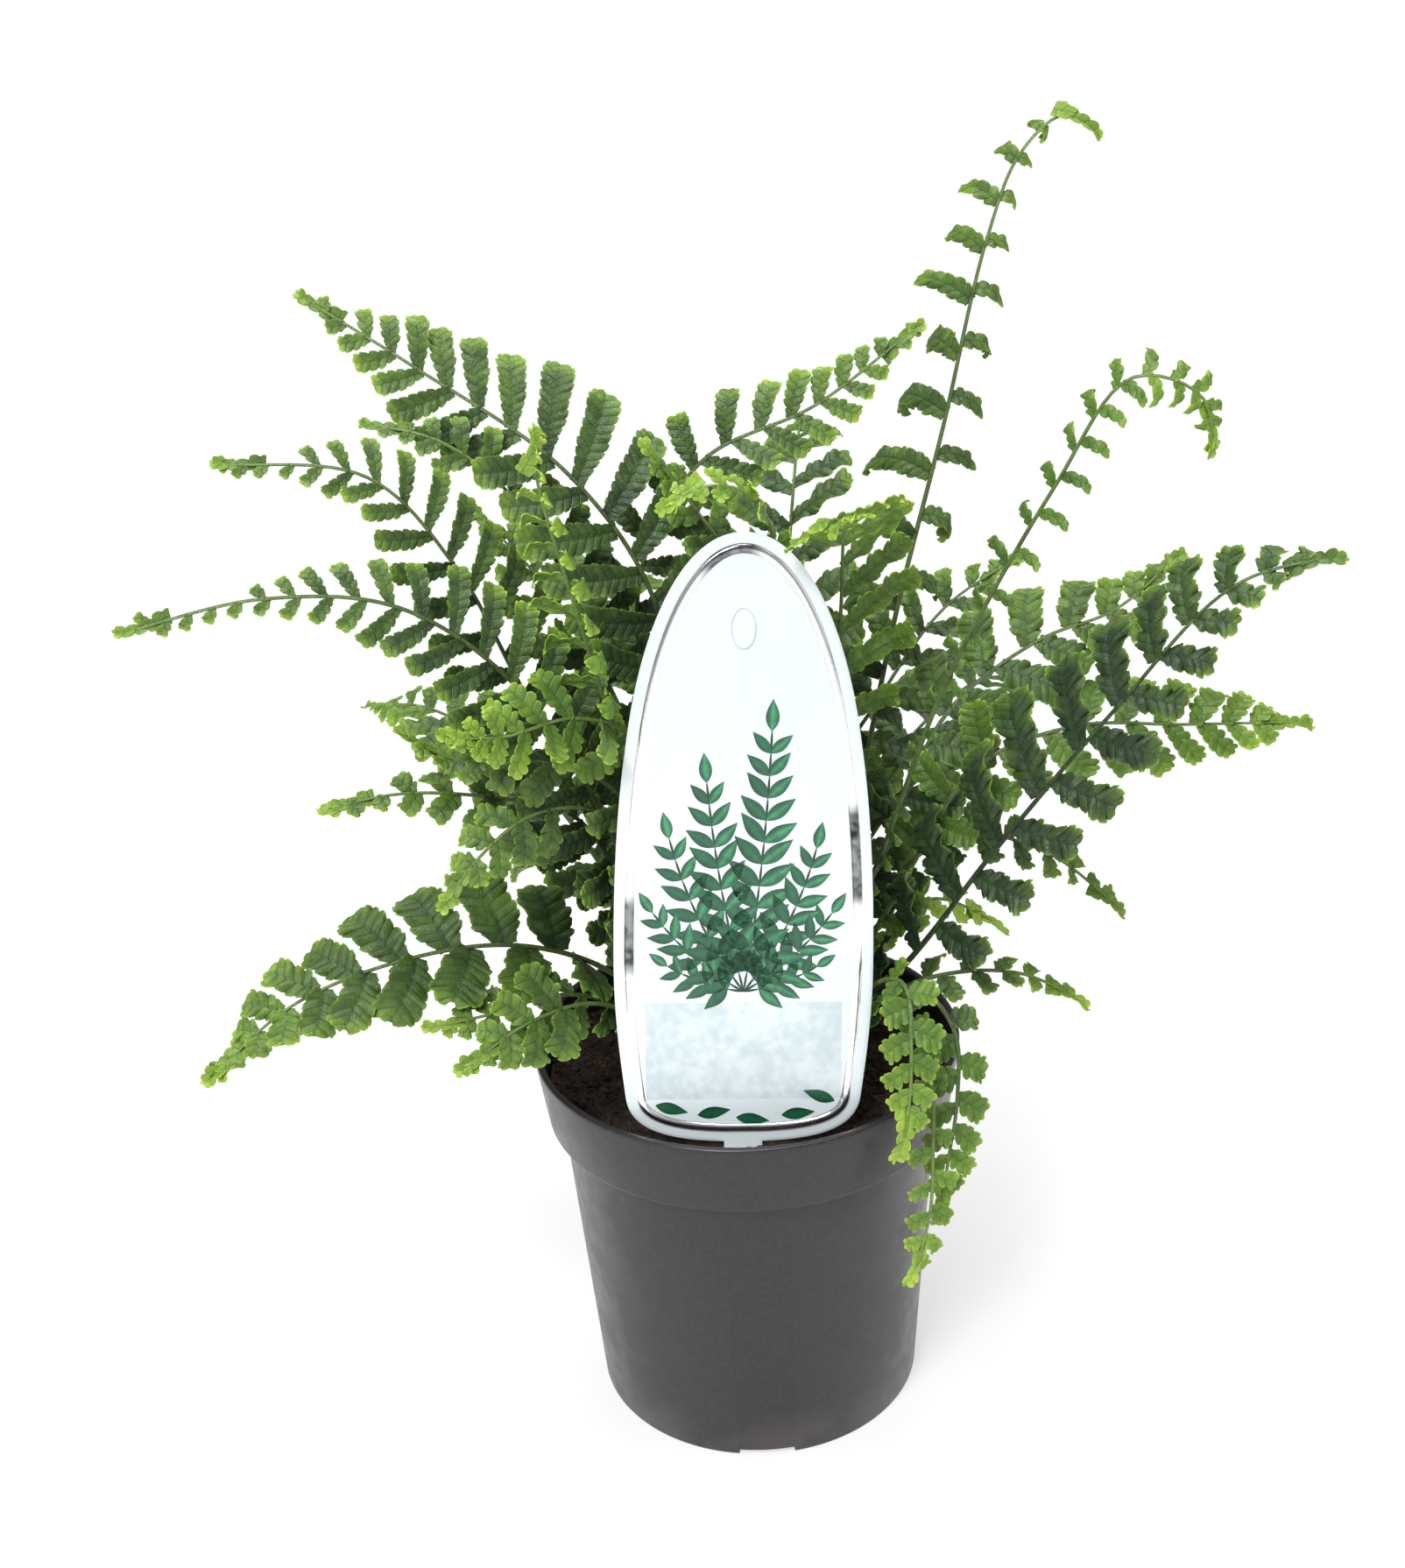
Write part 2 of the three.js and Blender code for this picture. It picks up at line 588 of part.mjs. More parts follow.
// A leaflet's surface: u runs from the stalk to its tip and v from -1 to 1 across it. The rib bends
// down as an arc of a circle, and the blade's halves fold up a little from it.
class Pinna {
  constructor(frame, hand, shape) {
    Object.assign(this, shape);
    const out = frame.right.clone().multiplyScalar(hand);
    const [flat, back] = turnedPair(frame.along, out, shape.angle);
    const [axis, level] = turnedPair(flat, frame.up, shape.lift);
    const [across, normal] = turnedPair(back.negate(), level, shape.twist);
    this.origin = frame.at.clone().addScaledVector(out, shape.offset);
    this.axis = axis;
    this.across = across;
    this.normal = normal;
  }

  normalAt(u) {
    const bend = this.curl * u;
    return this.normal.clone().multiplyScalar(Math.cos(bend)).addScaledVector(this.axis, Math.sin(bend));
  }

  at(u, v) {
    const bend = this.curl * u;
    const along = (this.length * Math.sin(bend)) / this.curl;
    const down = (this.length * (1 - Math.cos(bend))) / this.curl;
    const sweep = this.sweep * this.length * u * u;
    return this.origin
      .clone()
      .addScaledVector(this.axis, along)
      .addScaledVector(this.across, v * this.half + sweep)
      .addScaledVector(this.normal, -down)
      .addScaledVector(this.normalAt(u), PINNA.fold * this.half * v * v);
  }
}

// Where leaflets stand along the blade, closer together towards the tip.
function stationShare(frond, t) {
  const crowding = frond.crowding ?? PINNA.crowding;
  return lerp(frond.bare, 1, t * (1 + crowding * (1 - t)));
}

// Leaflet length along the blade: short at the foot, longest a third of the way up, then tapering.
function lengthShare(frond, x) {
  const peak = 0.31;
  const share = (t) => (0.55 + 1.6 * t) * Math.pow(1 - t, frond.taper);
  return share(x) / share(peak);
}

function pinnaShape(frond, count, x, spacing, hand, salt) {
  const handShare = hand > 0 ? (frond.right ?? 1) : 1;
  const longest = frond.span * handShare * (1 + 0.07 * wobble(count, 0, salt));
  const length = Math.max(PINNA.shortest, longest * lengthShare(frond, x));
  const angle = (lerp(PINNA.footAngle, PINNA.tipAngle, x) + 5 * wobble(count, 1, salt)) * DEG;
  const freeHalf = (PINNA.narrowest + PINNA.halfPerLength * length) * frond.broad;
  return {
    length,
    angle,
    half: Math.min(freeHalf, PINNA.halfPerSpacing * spacing * Math.sin(angle)),
    offset: 0,
    sweep: frond.sweep ?? PINNA.sweep,
    lift: (frond.lift + 6 * wobble(count, 2, salt)) * DEG,
    twist: -hand * (PINNA.twist + 9 * wobble(count, 3, salt)) * DEG,
    curl: Math.max(2, frond.curl * (1 + 0.3 * wobble(count, 2, salt + 0.5))) * DEG,
  };
}

// The outline's half widths, from the stalk outwards: long leaflets have lobes and a crested tip.
function outlineRungs(length) {
  if (length < 16) return [[0.56, 1]];
  if (length < 26) return [[0.38, 1], [0.84, 0.8]];
  return [[0.26, 1], [0.5, 0.66], [0.82, 0.98]];
}

// Clearance: sample points of what is already in place, in a grid of cells

class Crowd {
  constructor() {
    this.cells = new Map();
  }

  cellOf(point) {
    return point.toArray().map((c) => Math.floor(c / PINNA.clearance));
  }

  add(samples) {
    for (const sample of samples) {
      const key = this.cellOf(sample.point).join();
      if (!this.cells.has(key)) this.cells.set(key, []);
      this.cells.get(key).push(sample);
    }
  }

  // True where a sample comes too near to one in place. Leaflets of one frond stand closer together, so
  // they are tested at their ribs and not against the stalk they grow from.
  meets(sample) {
    const [i, j, k] = this.cellOf(sample.point);
    for (let a = i - 1; a <= i + 1; a++)
      for (let b = j - 1; b <= j + 1; b++)
        for (let c = k - 1; c <= k + 1; c++)
          for (const other of this.cells.get([a, b, c].join()) ?? []) {
            const sameFrond = other.owner === sample.owner;
            if (sameFrond && (other.stalk || !(other.rib || sample.rib))) continue;
            const reach = sameFrond ? PINNA.ownClearance : PINNA.clearance;
            if (other.point.distanceTo(sample.point) < reach) return true;
          }
    return false;
  }
}

// The pot, the soil and the label are tested by formula.
function meetsFixture(point) {
  const clear = PINNA.clearance;
  const radius = Math.hypot(point.x, point.y);
  const inWall = radius < POT.rimRadius + clear && radius > innerRadius(point.z) - clear;
  if (inWall && point.z < POT.height + 1) return true;
  if (radius < POT.rimRadius && point.z < crownSurface(radius) + clear) return true;
  const local = point.clone().applyMatrix4(labelFrame);
  return Math.abs(local.z) < clear && Math.abs(local.x) < labelHalfWidth(local.y) + 1;
}

function samplesOf(pinna, owner) {
  const rows = Math.max(3, Math.ceil(pinna.length / PINNA.sampleStep));
  const columns = Math.max(1, Math.ceil(pinna.half / PINNA.sampleStep));
  const samples = [];
  for (let i = 1; i <= rows; i++)
    for (let j = -columns; j <= columns; j++)
      samples.push({ point: pinna.at(i / rows, j / columns), owner, rib: j === 0, stalk: false });
  return samples;
}

// A leaflet that would meet something is turned up or down, then shortened, and otherwise left off.
const TURNS = [0, 12, -12, 24, -24, 36, -36];
const LENGTHS = [1, 0.78, 0.56];

function fitPinna(frame, hand, shape, crowd, owner) {
  for (const share of LENGTHS)
    for (const turn of TURNS) {
      const tried = { ...shape, length: shape.length * share, lift: shape.lift + turn * DEG };
      const pinna = new Pinna(frame, hand, tried);
      const samples = samplesOf(pinna, owner);
      if (samples.some((sample) => meetsFixture(sample.point) || crowd.meets(sample))) continue;
      crowd.add(samples);
      return pinna;
    }
  return null;
}

// Adds a leaflet to the sheet, out from the two points of the stalk's edge that it grows between.
function addPinna(sheet, pinna, near, far, flip) {
  const half = PINNA.thickness / 2;
  for (const [u, width] of outlineRungs(pinna.length)) {
    const normal = pinna.normalAt(u);
    const nextNear = sheet.add(pinna.at(u - PINNA.skew, -width), normal, half);
    const nextFar = sheet.add(pinna.at(u + PINNA.skew, width), normal, half);
    sheet.quad(near, nextNear, nextFar, far, flip);
    [near, far] = [nextNear, nextFar];
  }
  sheet.triangle(near, sheet.add(pinna.at(1, 0), pinna.normalAt(1), half), far, flip);
}

// A frond ends in a small crest that spreads and forks.
function addCrest(sheet, crest, near, far) {
  const half = PINNA.thickness / 2;
  const add = (u, v) => sheet.add(crest.at(u, v), crest.normalAt(u), half);
  const [left, right, fork] = [add(1, -0.75), add(0.94, 0.8), add(0.66, 0.05)];
  const [leftSide, rightSide] = [add(0.5, -1), add(0.45, 1)];
  sheet.quad(near, leftSide, fork, far, true);
  sheet.triangle(leftSide, left, fork, true);
  sheet.quad(far, fork, right, rightSide, true);
}

// The stalk's two edges as shares of its length, the right one half a step behind the left one.
function edgeStations(frond, stalk) {
  const steps = Math.max(3, Math.round((stalk.length * frond.bare) / STALK.step));
  const edges = [[0], [0]];
  for (let i = 1; i < steps; i++) {
    edges[0].push((frond.bare * i) / steps);
    edges[1].push((frond.bare * (i - 0.5)) / steps);
  }
  const firstPinna = [edges[0].length, edges[1].length];
  for (let i = 0; i <= frond.pairs; i++) {
    const last = i === frond.pairs;
    edges[0].push(stationShare(frond, i / frond.pairs) * (last ? 0.995 : 1));
    edges[1].push(stationShare(frond, last ? 1 : (i + 0.5) / (frond.pairs + 0.5)) * (last ? 0.995 : 1));
  }
  return { edges, firstPinna };
}

function frondGeometry(frond, index, stalk, crowd) {
  const sheet = new Sheet();
  const { edges, firstPinna } = edgeStations(frond, stalk);
  const chains = edges.map((shares, side) =>
    shares.map((share) => {
      const { at, right, up } = stalk.frame(share);
      const edge = at.addScaledVector(right, (side ? 1 : -1) * stalk.halfWidth(share));
      return sheet.add(edge, up, stalk.halfDepth(share));
    }),
  );
  const [iLast, jLast] = [chains[0].length - 1, chains[1].length - 1];
  let [i, j] = [0, 0];
  while (i < iLast || j < jLast) {
    const left = j === jLast || (i < iLast && edges[0][i + 1] <= edges[1][j + 1]);
    sheet.triangle(chains[0][i], chains[1][j], left ? chains[0][i + 1] : chains[1][j + 1], false);
    if (left) i++;
    else j++;
  }
  for (let k = 0; k < frond.pairs; k++) {
    for (const side of [0, 1]) {
      const near = firstPinna[side] + k;
      const [from, to] = [edges[side][near], edges[side][near + 1]];
      const middle = (from + to) / 2;
      const x = (middle - frond.bare) / (1 - frond.bare);
      const hand = side ? 1 : -1;
      const shape = pinnaShape(frond, 2 * k + side, x, (to - from) * stalk.length, hand, index);
      shape.offset = stalk.halfWidth(middle);
      const pinna = fitPinna(stalk.frame(middle), hand, shape, crowd, index);
      if (pinna) addPinna(sheet, pinna, chains[side][near], chains[side][near + 1], side === 0);
    }
  }
  const end = stalk.frame(1);
  const straight = { offset: 0, angle: 0, lift: 0, twist: 0, sweep: PINNA.sweep, curl: CREST.curl * DEG };
  const size = Math.sqrt(frond.broad);
  const shape = { ...straight, length: CREST.length * size, half: CREST.half * size };
  addCrest(sheet, new Pinna(end, -1, shape), chains[0].at(-1), chains[1].at(-1));
  return sheet.solid();
}

// The plain hole in the crown that a stalk stands in: the stalk's own section, grown all round.
function stalkHole(stalk) {
  const sheet = new Sheet();
  const edge = stalk.halfWidth(0) + GAP;
  const depth = stalk.halfDepth(0) + GAP;
  let last = null;
  for (const run of [-GAP, CROWN.seatDepth + 7]) {
    const { at, right, up } = stalk.frame(Math.max(0, run) / stalk.length);
    const { along } = stalk.frame(0);
    const middle = at.addScaledVector(along, Math.min(0, run));
    const next = [-edge, edge].map((e) => sheet.add(middle.clone().addScaledVector(right, e), up, depth));
    if (last) sheet.quad(last[0], last[1], next[1], next[0], false);
    last = next;
  }
  return manifoldOf(sheet.solid());
}

// Assembly

const fern = new THREE.Group();

function addPart(name, geometry, color, roughness, matrix) {
  const mesh = new THREE.Mesh(geometry, new THREE.MeshStandardMaterial({ color, roughness, metalness: 0 }));
  mesh.name = name;
  if (matrix) mesh.applyMatrix4(matrix);
  fern.add(mesh);
}

const stalks = FRONDS.map((frond) => new Stalk(frond));
const crowd = new Crowd();
stalks.forEach((stalk, owner) => {
  const count = Math.ceil(stalk.length / PINNA.sampleStep);
  for (let i = 0; i <= count; i++) {
    const point = stalk.frame(i / count).at;
    crowd.add([{ point, owner, rib: false, stalk: true }]);
  }
});

addPart("pot", potGeometry(), COLOURS.pot, 0.45);
addPart("soil", soilGeometry([crownWell(), labelSlot()]), COLOURS.soil, 0.95);
addPart("crown", crownGeometry(stalks.map(stalkHole)), COLOURS.crown, 0.9);
addPart("label", labelGeometry(), COLOURS.label, 0.3, labelTurn);
FRONDS.forEach((frond, index) => {
  const colour = frond.young ? COLOURS.youngLeaf : COLOURS.leaf;
  addPart(frond.name, frondGeometry(frond, index, stalks[index], crowd), colour, 0.6);
});

export default fern;
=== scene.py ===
"""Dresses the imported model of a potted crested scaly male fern.

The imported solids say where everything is. This script works out the fine surfaces that are seen in their
place: the pot, the soil, the scaly crown, the label and every frond with its toothed leaflets. Shapes are
worked out in millimetres, in the model's own frame, and put into their meshes in metres.
"""

import json
import logging
import math
from dataclasses import dataclass, field, replace
from enum import Enum
from typing import Iterable, Sequence

import bpy
import numpy as np
from mathutils import Matrix

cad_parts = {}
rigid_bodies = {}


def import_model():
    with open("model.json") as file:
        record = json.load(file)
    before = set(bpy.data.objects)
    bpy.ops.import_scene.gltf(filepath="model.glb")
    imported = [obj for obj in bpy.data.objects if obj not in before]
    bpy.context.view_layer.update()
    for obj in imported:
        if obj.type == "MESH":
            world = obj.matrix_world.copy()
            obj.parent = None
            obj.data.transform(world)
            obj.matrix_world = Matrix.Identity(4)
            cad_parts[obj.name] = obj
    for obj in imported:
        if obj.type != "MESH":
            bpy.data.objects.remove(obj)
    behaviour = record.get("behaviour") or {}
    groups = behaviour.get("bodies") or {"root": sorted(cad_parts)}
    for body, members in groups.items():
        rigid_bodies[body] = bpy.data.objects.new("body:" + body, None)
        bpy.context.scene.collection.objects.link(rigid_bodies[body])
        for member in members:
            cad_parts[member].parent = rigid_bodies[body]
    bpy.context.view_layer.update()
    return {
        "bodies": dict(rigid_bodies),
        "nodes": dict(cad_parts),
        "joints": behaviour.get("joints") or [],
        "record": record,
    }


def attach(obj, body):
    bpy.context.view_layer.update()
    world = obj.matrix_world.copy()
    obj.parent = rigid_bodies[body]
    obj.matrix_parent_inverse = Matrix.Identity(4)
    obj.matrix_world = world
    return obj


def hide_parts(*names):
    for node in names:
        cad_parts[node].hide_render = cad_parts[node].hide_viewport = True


LOG = logging.getLogger("fern")
BODY = "root"
MM = 0.001
DEG = math.pi / 180

Array = np.ndarray
Colour = tuple[float, float, float, float]
Input = float | Sequence[float] | bpy.types.NodeSocket


# Small formulas

def lerp(first: Array | float, last: Array | float, share: Array | float) -> Array | float:
    """Value that lies a share of the way from first to last."""
    return first + (last - first) * share


def ease(value: Array | float, low: float = 0.0, high: float = 1.0) -> Array:
    """Smooth step: 0 below low, 1 above high, and 3t² - 2t³ between them."""
    t = np.clip((np.asarray(value, float) - low) / (high - low), 0, 1)
    return t * t * (3 - 2 * t)


def unit(vectors: Array) -> Array:
    """Vectors of the same direction with a length of 1."""
    return vectors / np.linalg.norm(vectors, axis=-1, keepdims=True)


def turned_pair(first: Array, second: Array, angle: float) -> tuple[Array, Array]:
    """The first vector turned towards the second by an angle, and the second turned on by as much."""
    c, s = math.cos(angle), math.sin(angle)
    return first * c + second * s, second * c - first * s


SPREADS = (0.6180339887, 0.4142135624, 0.7320508076, 0.2360679775)


def wobble(count: float, which: int, salt: float) -> float:
    """A repeatable spread of values in -1..1: count times an irrational step, wrapped round."""
    return 2 * (((count + 1) * SPREADS[which] + salt * 0.37) % 1.0) - 1


# Meshes

def grid_faces(rows: int, columns: int, wrap: bool = False) -> Array:
    """Quads of a grid of points that are numbered row by row.

    Args:
        rows: How many rows of points there are.
        columns: How many points a row has.
        wrap: True if the last column joins the first.

    Returns:
        The quads' point numbers, one quad a row.
    """
    i = np.arange(rows - 1)[:, None] * columns
    j = np.arange(columns if wrap else columns - 1)[None]
    k = (j + 1) % columns
    corners = np.broadcast_arrays(i + j, i + columns + j, i + columns + k, i + k)
    return np.stack(corners, -1).reshape(-1, 4)


def slab_faces(rows: int, columns: int, flip: bool = False) -> Array:
    """Quads of a thin closed slab: a grid's upper points, then its lower ones, and a wall round both.

    Args:
        rows: How many rows of points each side has.
        columns: How many points a row has.
        flip: True to turn every face round.

    Returns:
        The quads' point numbers, one quad a row.
    """
    count = rows * columns
    upper = grid_faces(rows, columns)
    number = np.arange(count).reshape(rows, columns)
    ring = np.concatenate([number[:-1, 0], number[-1, :-1], number[:0:-1, -1], number[0, :0:-1]])
    after = np.roll(ring, -1)
    wall = np.stack([after, ring, ring + count, after + count], -1)
    quads = np.concatenate([upper, upper[:, ::-1] + count, wall])
    return quads[:, ::-1] if flip else quads


def tube_faces(rows: int, sides: int, flip: bool = False) -> list[Array]:
    """Faces of a closed tube whose points run round it ring by ring: its wall and its two flat ends.

    Args:
        rows: How many rings there are.
        sides: How many points a ring has.
        flip: True to turn every face round.

    Returns:
        Arrays of faces, each of faces with the same number of corners.
    """
    ring = np.arange(sides)[None]
    faces = [grid_faces(rows, sides, wrap=True), ring, ring[:, ::-1] + (rows - 1) * sides]
    return [made[:, ::-1] for made in faces] if flip else faces


def new_object(name: str, data: bpy.types.ID) -> bpy.types.Object:
    """A new object with the given data, linked into the scene."""
    made = bpy.data.objects.new(name, data)
    bpy.context.scene.collection.objects.link(made)
    return made


class Skin:
    """Gathers closed surfaces into one mesh, with named numbers held at each point."""

    def __init__(self, *channels: str) -> None:
        """Starts an empty skin whose points hold a number for each of the channels."""
        self.points: list[Array] = []
        self.faces: list[Array] = []
        self.maps: list[Array] = []
        self.values: dict[str, list[Array]] = {name: [] for name in channels}
        self.count = 0

    def add(self, points: Array, faces: Iterable[Array], place: Array | None = None, **values: Array) -> None:
        """Adds one surface.

        Args:
            points: Its points in millimetres, of any shape that ends in 3.
            faces: Arrays of faces, each of faces with the same number of corners.
            place: Its points' places on the piece's own map, or None for none.
            values: A number, or one for each point, for the channels that aren't 0.
        """
        points = points.reshape(-1, 3)
        size = len(points)
        self.points.append(points)
        self.faces += [made + self.count for made in faces]
        self.maps.append(np.zeros((size, 2)) if place is None else place.reshape(-1, 2))
        for name, held in self.values.items():
            value = np.asarray(values.get(name, 0.0), float)
            held.append(np.broadcast_to(value if value.ndim == 0 else value.ravel(), size))
        self.count += size

    def piece(self, name: str, material: bpy.types.Material, crease: float = 48.0) -> bpy.types.Object:
        """Makes the mesh and its object, which rides on the model's one body.

        Args:
            name: The piece's name.
            material: What it is made of.
            crease: Edges that bend by more degrees than this look sharp.

        Returns:
            The new object.
        """
        mesh = bpy.data.meshes.new(name)
        points = np.concatenate(self.points) * MM
        corners = np.concatenate([made.ravel() for made in self.faces]).astype(np.int32)
        sizes = np.concatenate([np.full(len(made), made.shape[1]) for made in self.faces])
        mesh.vertices.add(len(points))
        mesh.vertices.foreach_set("co", points.astype(np.float32).ravel())
        mesh.loops.add(len(corners))
        mesh.loops.foreach_set("vertex_index", corners)
        mesh.polygons.add(len(sizes))
        mesh.polygons.foreach_set("loop_start", (np.cumsum(sizes) - sizes).astype(np.int32))
        mesh.update(calc_edges=True)
        places = np.concatenate(self.maps)[corners].astype(np.float32)
        mesh.uv_layers.new(name="face").data.foreach_set("uv", places.ravel())
        for channel, held in self.values.items():
            layer = mesh.attributes.new(channel, "FLOAT", "POINT")
            layer.data.foreach_set("value", np.concatenate(held).astype(np.float32))
        mesh.polygons.foreach_set("use_smooth", np.ones(len(sizes), bool))
        mesh.set_sharp_from_angle(angle=crease * DEG)
        mesh.materials.append(material)
        made = new_object(name, mesh)
        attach(made, BODY)
        LOG.info("%s: %d points, %d triangles", name, len(points), int(np.sum(sizes - 2)))
        return made


def carve(piece: bpy.types.Object, cutter: bpy.types.Object) -> None:
    """Cuts one object's shape out of a piece, and removes the cutter."""
    cut = piece.modifiers.new("cut", "BOOLEAN")
    cut.operation = "DIFFERENCE"
    cut.solver = "EXACT"
    cut.object = cutter
    bpy.context.view_layer.update()
    evaluated = piece.evaluated_get(bpy.context.evaluated_depsgraph_get())
    piece.data = bpy.data.meshes.new_from_object(evaluated)
    piece.modifiers.clear()
    bpy.data.objects.remove(cutter)


# Materials

class Graph:
    """Adds shader nodes to one tree and links them."""

    def __init__(self, tree: bpy.types.NodeTree) -> None:
        """Works on the given tree."""
        self.tree = tree

    def give(self, socket: bpy.types.NodeSocket, value: Input) -> None:
        """Gives a socket its value, or links another node's socket to it."""
        if isinstance(value, bpy.types.NodeSocket):
            self.tree.links.new(value, socket)
        else:
            socket.default_value = value

    def node(self, kind: str, inputs: dict[str | int, Input], **settings: object) -> bpy.types.Node:
        """Adds a node.

        Args:
            kind: Its type's name, without the words ShaderNode.
            inputs: What each of its sockets gets, a value or another node's socket.
            settings: Its own properties.

        Returns:
            The node.
        """
        made = self.tree.nodes.new("ShaderNode" + kind)
        for name, value in settings.items():
            setattr(made, name, value)
        for name, value in inputs.items():
            self.give(made.inputs[name], value)
        return made

    def math(self, operation: str, *values: Input, clamp: bool = False) -> bpy.types.NodeSocket:
        """Result of one sum on numbers."""
        made = self.node("Math", dict(enumerate(values)), operation=operation, use_clamp=clamp)
        return made.outputs[0]

    def mix(self, share: Input, first: Input, last: Input) -> bpy.types.NodeSocket:
        """Colour that lies a share of the way from first to last."""
        made = self.node("Mix", {0: share, 6: first, 7: last}, data_type="RGBA")
        return made.outputs[2]

    def span(self, value: Input, low: float, high: float, first: Input, last: Input) -> bpy.types.NodeSocket:
        """Value from low to high, carried over smoothly to run from first to last."""
        inputs = {0: value, 1: low, 2: high, 3: first, 4: last}
        return self.node("MapRange", inputs, interpolation_type="SMOOTHSTEP").outputs[0]

    def window(self, value: Input, low: float, high: float, soft: float) -> bpy.types.NodeSocket:
        """1 between low and high and 0 beyond them, with a soft edge just inside each."""
        rise = self.span(value, low, low + soft, 0.0, 1.0)
        return self.math("MULTIPLY", rise, self.span(value, high - soft, high, 1.0, 0.0))

    def held(self, channel: str) -> bpy.types.NodeSocket:
        """The number that the mesh holds at each point for a channel."""
        return self.node("Attribute", {}, attribute_name=channel).outputs["Fac"]

    def place(self) -> bpy.types.NodeSocket:
        """Object coordinates, in metres."""
        return self.node("TexCoord", {}).outputs["Object"]

    def face(self) -> tuple[bpy.types.NodeSocket, bpy.types.NodeSocket]:
        """The two numbers of the piece's own map."""
        parts = self.node("SeparateXYZ", {0: self.node("UVMap", {}, uv_map="face").outputs[0]}).outputs
        return parts[0], parts[1]

    def ramp(self, value: Input, stops: Sequence[tuple[float, Colour]]) -> bpy.types.NodeSocket:
        """Colour read from a row of stops, each a place from 0 to 1 and its colour."""
        made = self.node("ValToRGB", {0: value})
        band = made.color_ramp
        while len(band.elements) < len(stops):
            band.elements.new(1.0)
        for element, (at, colour) in zip(band.elements, stops):
            element.position = at
            element.color = colour
        return made.outputs[0]

    def bump(self, height: Input, strength: float, distance: float) -> bpy.types.NodeSocket:
        """Normal of a surface with small relief, its distance in metres."""
        inputs = {"Height": height, "Strength": strength, "Distance": distance}
        return self.node("Bump", inputs).outputs[0]


def effect(name: str, inputs: dict[str, tuple[str, float]], output: str) -> tuple[Graph, ...]:
    """Starts a node group.

    Args:
        name: The group's name.
        inputs: Each input's kind of socket and its usual value.
        output: The name of its output, a number.

    Returns:
        Its graph, its input node and its output node.
    """
    tree = bpy.data.node_groups.new(name, "ShaderNodeTree")
    for label, (kind, usual) in inputs.items():
        socket = tree.interface.new_socket(label, in_out="INPUT", socket_type="NodeSocket" + kind)
        if kind == "Float":
            socket.default_value = usual
    tree.interface.new_socket(output, in_out="OUTPUT", socket_type="NodeSocketFloat")
    return Graph(tree), tree.nodes.new("NodeGroupInput"), tree.nodes.new("NodeGroupOutput")


def mottle_effect() -> bpy.types.NodeTree:
    """Soft patches in two sizes, from Low to High: coarse noise with a share of noise four times as fine."""
    inputs = {"Place": ("Vector", 0), "Scale": ("Float", 100), "Low": ("Float", 0), "High": ("Float", 1)}
    graph, given, result = effect("mottle", inputs, "Value")
    coarse = graph.node("TexNoise", {"Vector": given.outputs[0], "Scale": given.outputs[1], "Detail": 2.0})
    finer = graph.math("MULTIPLY", given.outputs[1], 4.0)
    fine = graph.node("TexNoise", {"Vector": given.outputs[0], "Scale": finer, "Detail": 2.0})
    mixed = graph.math("MULTIPLY_ADD", fine.outputs[0], 0.4, graph.math("MULTIPLY", coarse.outputs[0], 0.6))
    value = graph.span(mixed, 0.36, 0.64, given.outputs[2], given.outputs[3])
    graph.give(result.inputs[0], value)
    return graph.tree


def grain_effect() -> bpy.types.NodeTree:
    """Fine relief for a bump: noise, and a share of the cells of a crackle."""
    inputs = {"Place": ("Vector", 0), "Scale": ("Float", 1000), "Cells": ("Float", 0)}
    graph, given, result = effect("grain", inputs, "Height")
    noise = graph.node("TexNoise", {"Vector": given.outputs[0], "Scale": given.outputs[1], "Detail": 3.0})
    cells = graph.node("TexVoronoi", {"Vector": given.outputs[0], "Scale": given.outputs[1]})
    height = graph.math("MULTIPLY_ADD", cells.outputs[0], given.outputs[2], noise.outputs[0])
    graph.give(result.inputs[0], height)
    return graph.tree


class Finish:
    """Base of the finishes: a material with one Principled shader and the shared effects at hand."""

    def __init__(self, name: str, effects: dict[str, bpy.types.NodeTree]) -> None:
        """Makes the material.

        Args:
            name: The material's name.
            effects: The shared node groups by name.
        """
        self.material = bpy.data.materials.new(name)
        self.material.use_nodes = True
        self.effects = effects
        self.graph = Graph(self.material.node_tree)
        self.shader = self.material.node_tree.nodes["Principled BSDF"]
        self.place = self.graph.place()
        self.paint()

    def paint(self) -> None:
        """Builds the nodes. Each finish has its own."""
        raise NotImplementedError

    def feed(self, **inputs: Input) -> None:
        """Gives the shader's sockets their values or links, with _ in a name for a space."""
        for name, value in inputs.items():
            self.graph.give(self.shader.inputs[name.replace("_", " ")], value)

    def shared(self, name: str, **inputs: Input) -> bpy.types.NodeSocket:
        """Result of a shared effect with the given inputs, laid out over the piece."""
        group = self.graph.node("Group", {"Place": self.place, **inputs}, node_tree=self.effects[name])
        return group.outputs[0]

    def mottle(self, scale: float, low: float = 0.0, high: float = 1.0) -> bpy.types.NodeSocket:
        """Soft patches, from low to high."""
        return self.shared("mottle", Scale=scale, Low=low, High=high)

    def grain(self, scale: float, cells: float) -> bpy.types.NodeSocket:
        """Fine relief, with a share of cells."""
        return self.shared("grain", Scale=scale, Cells=cells)


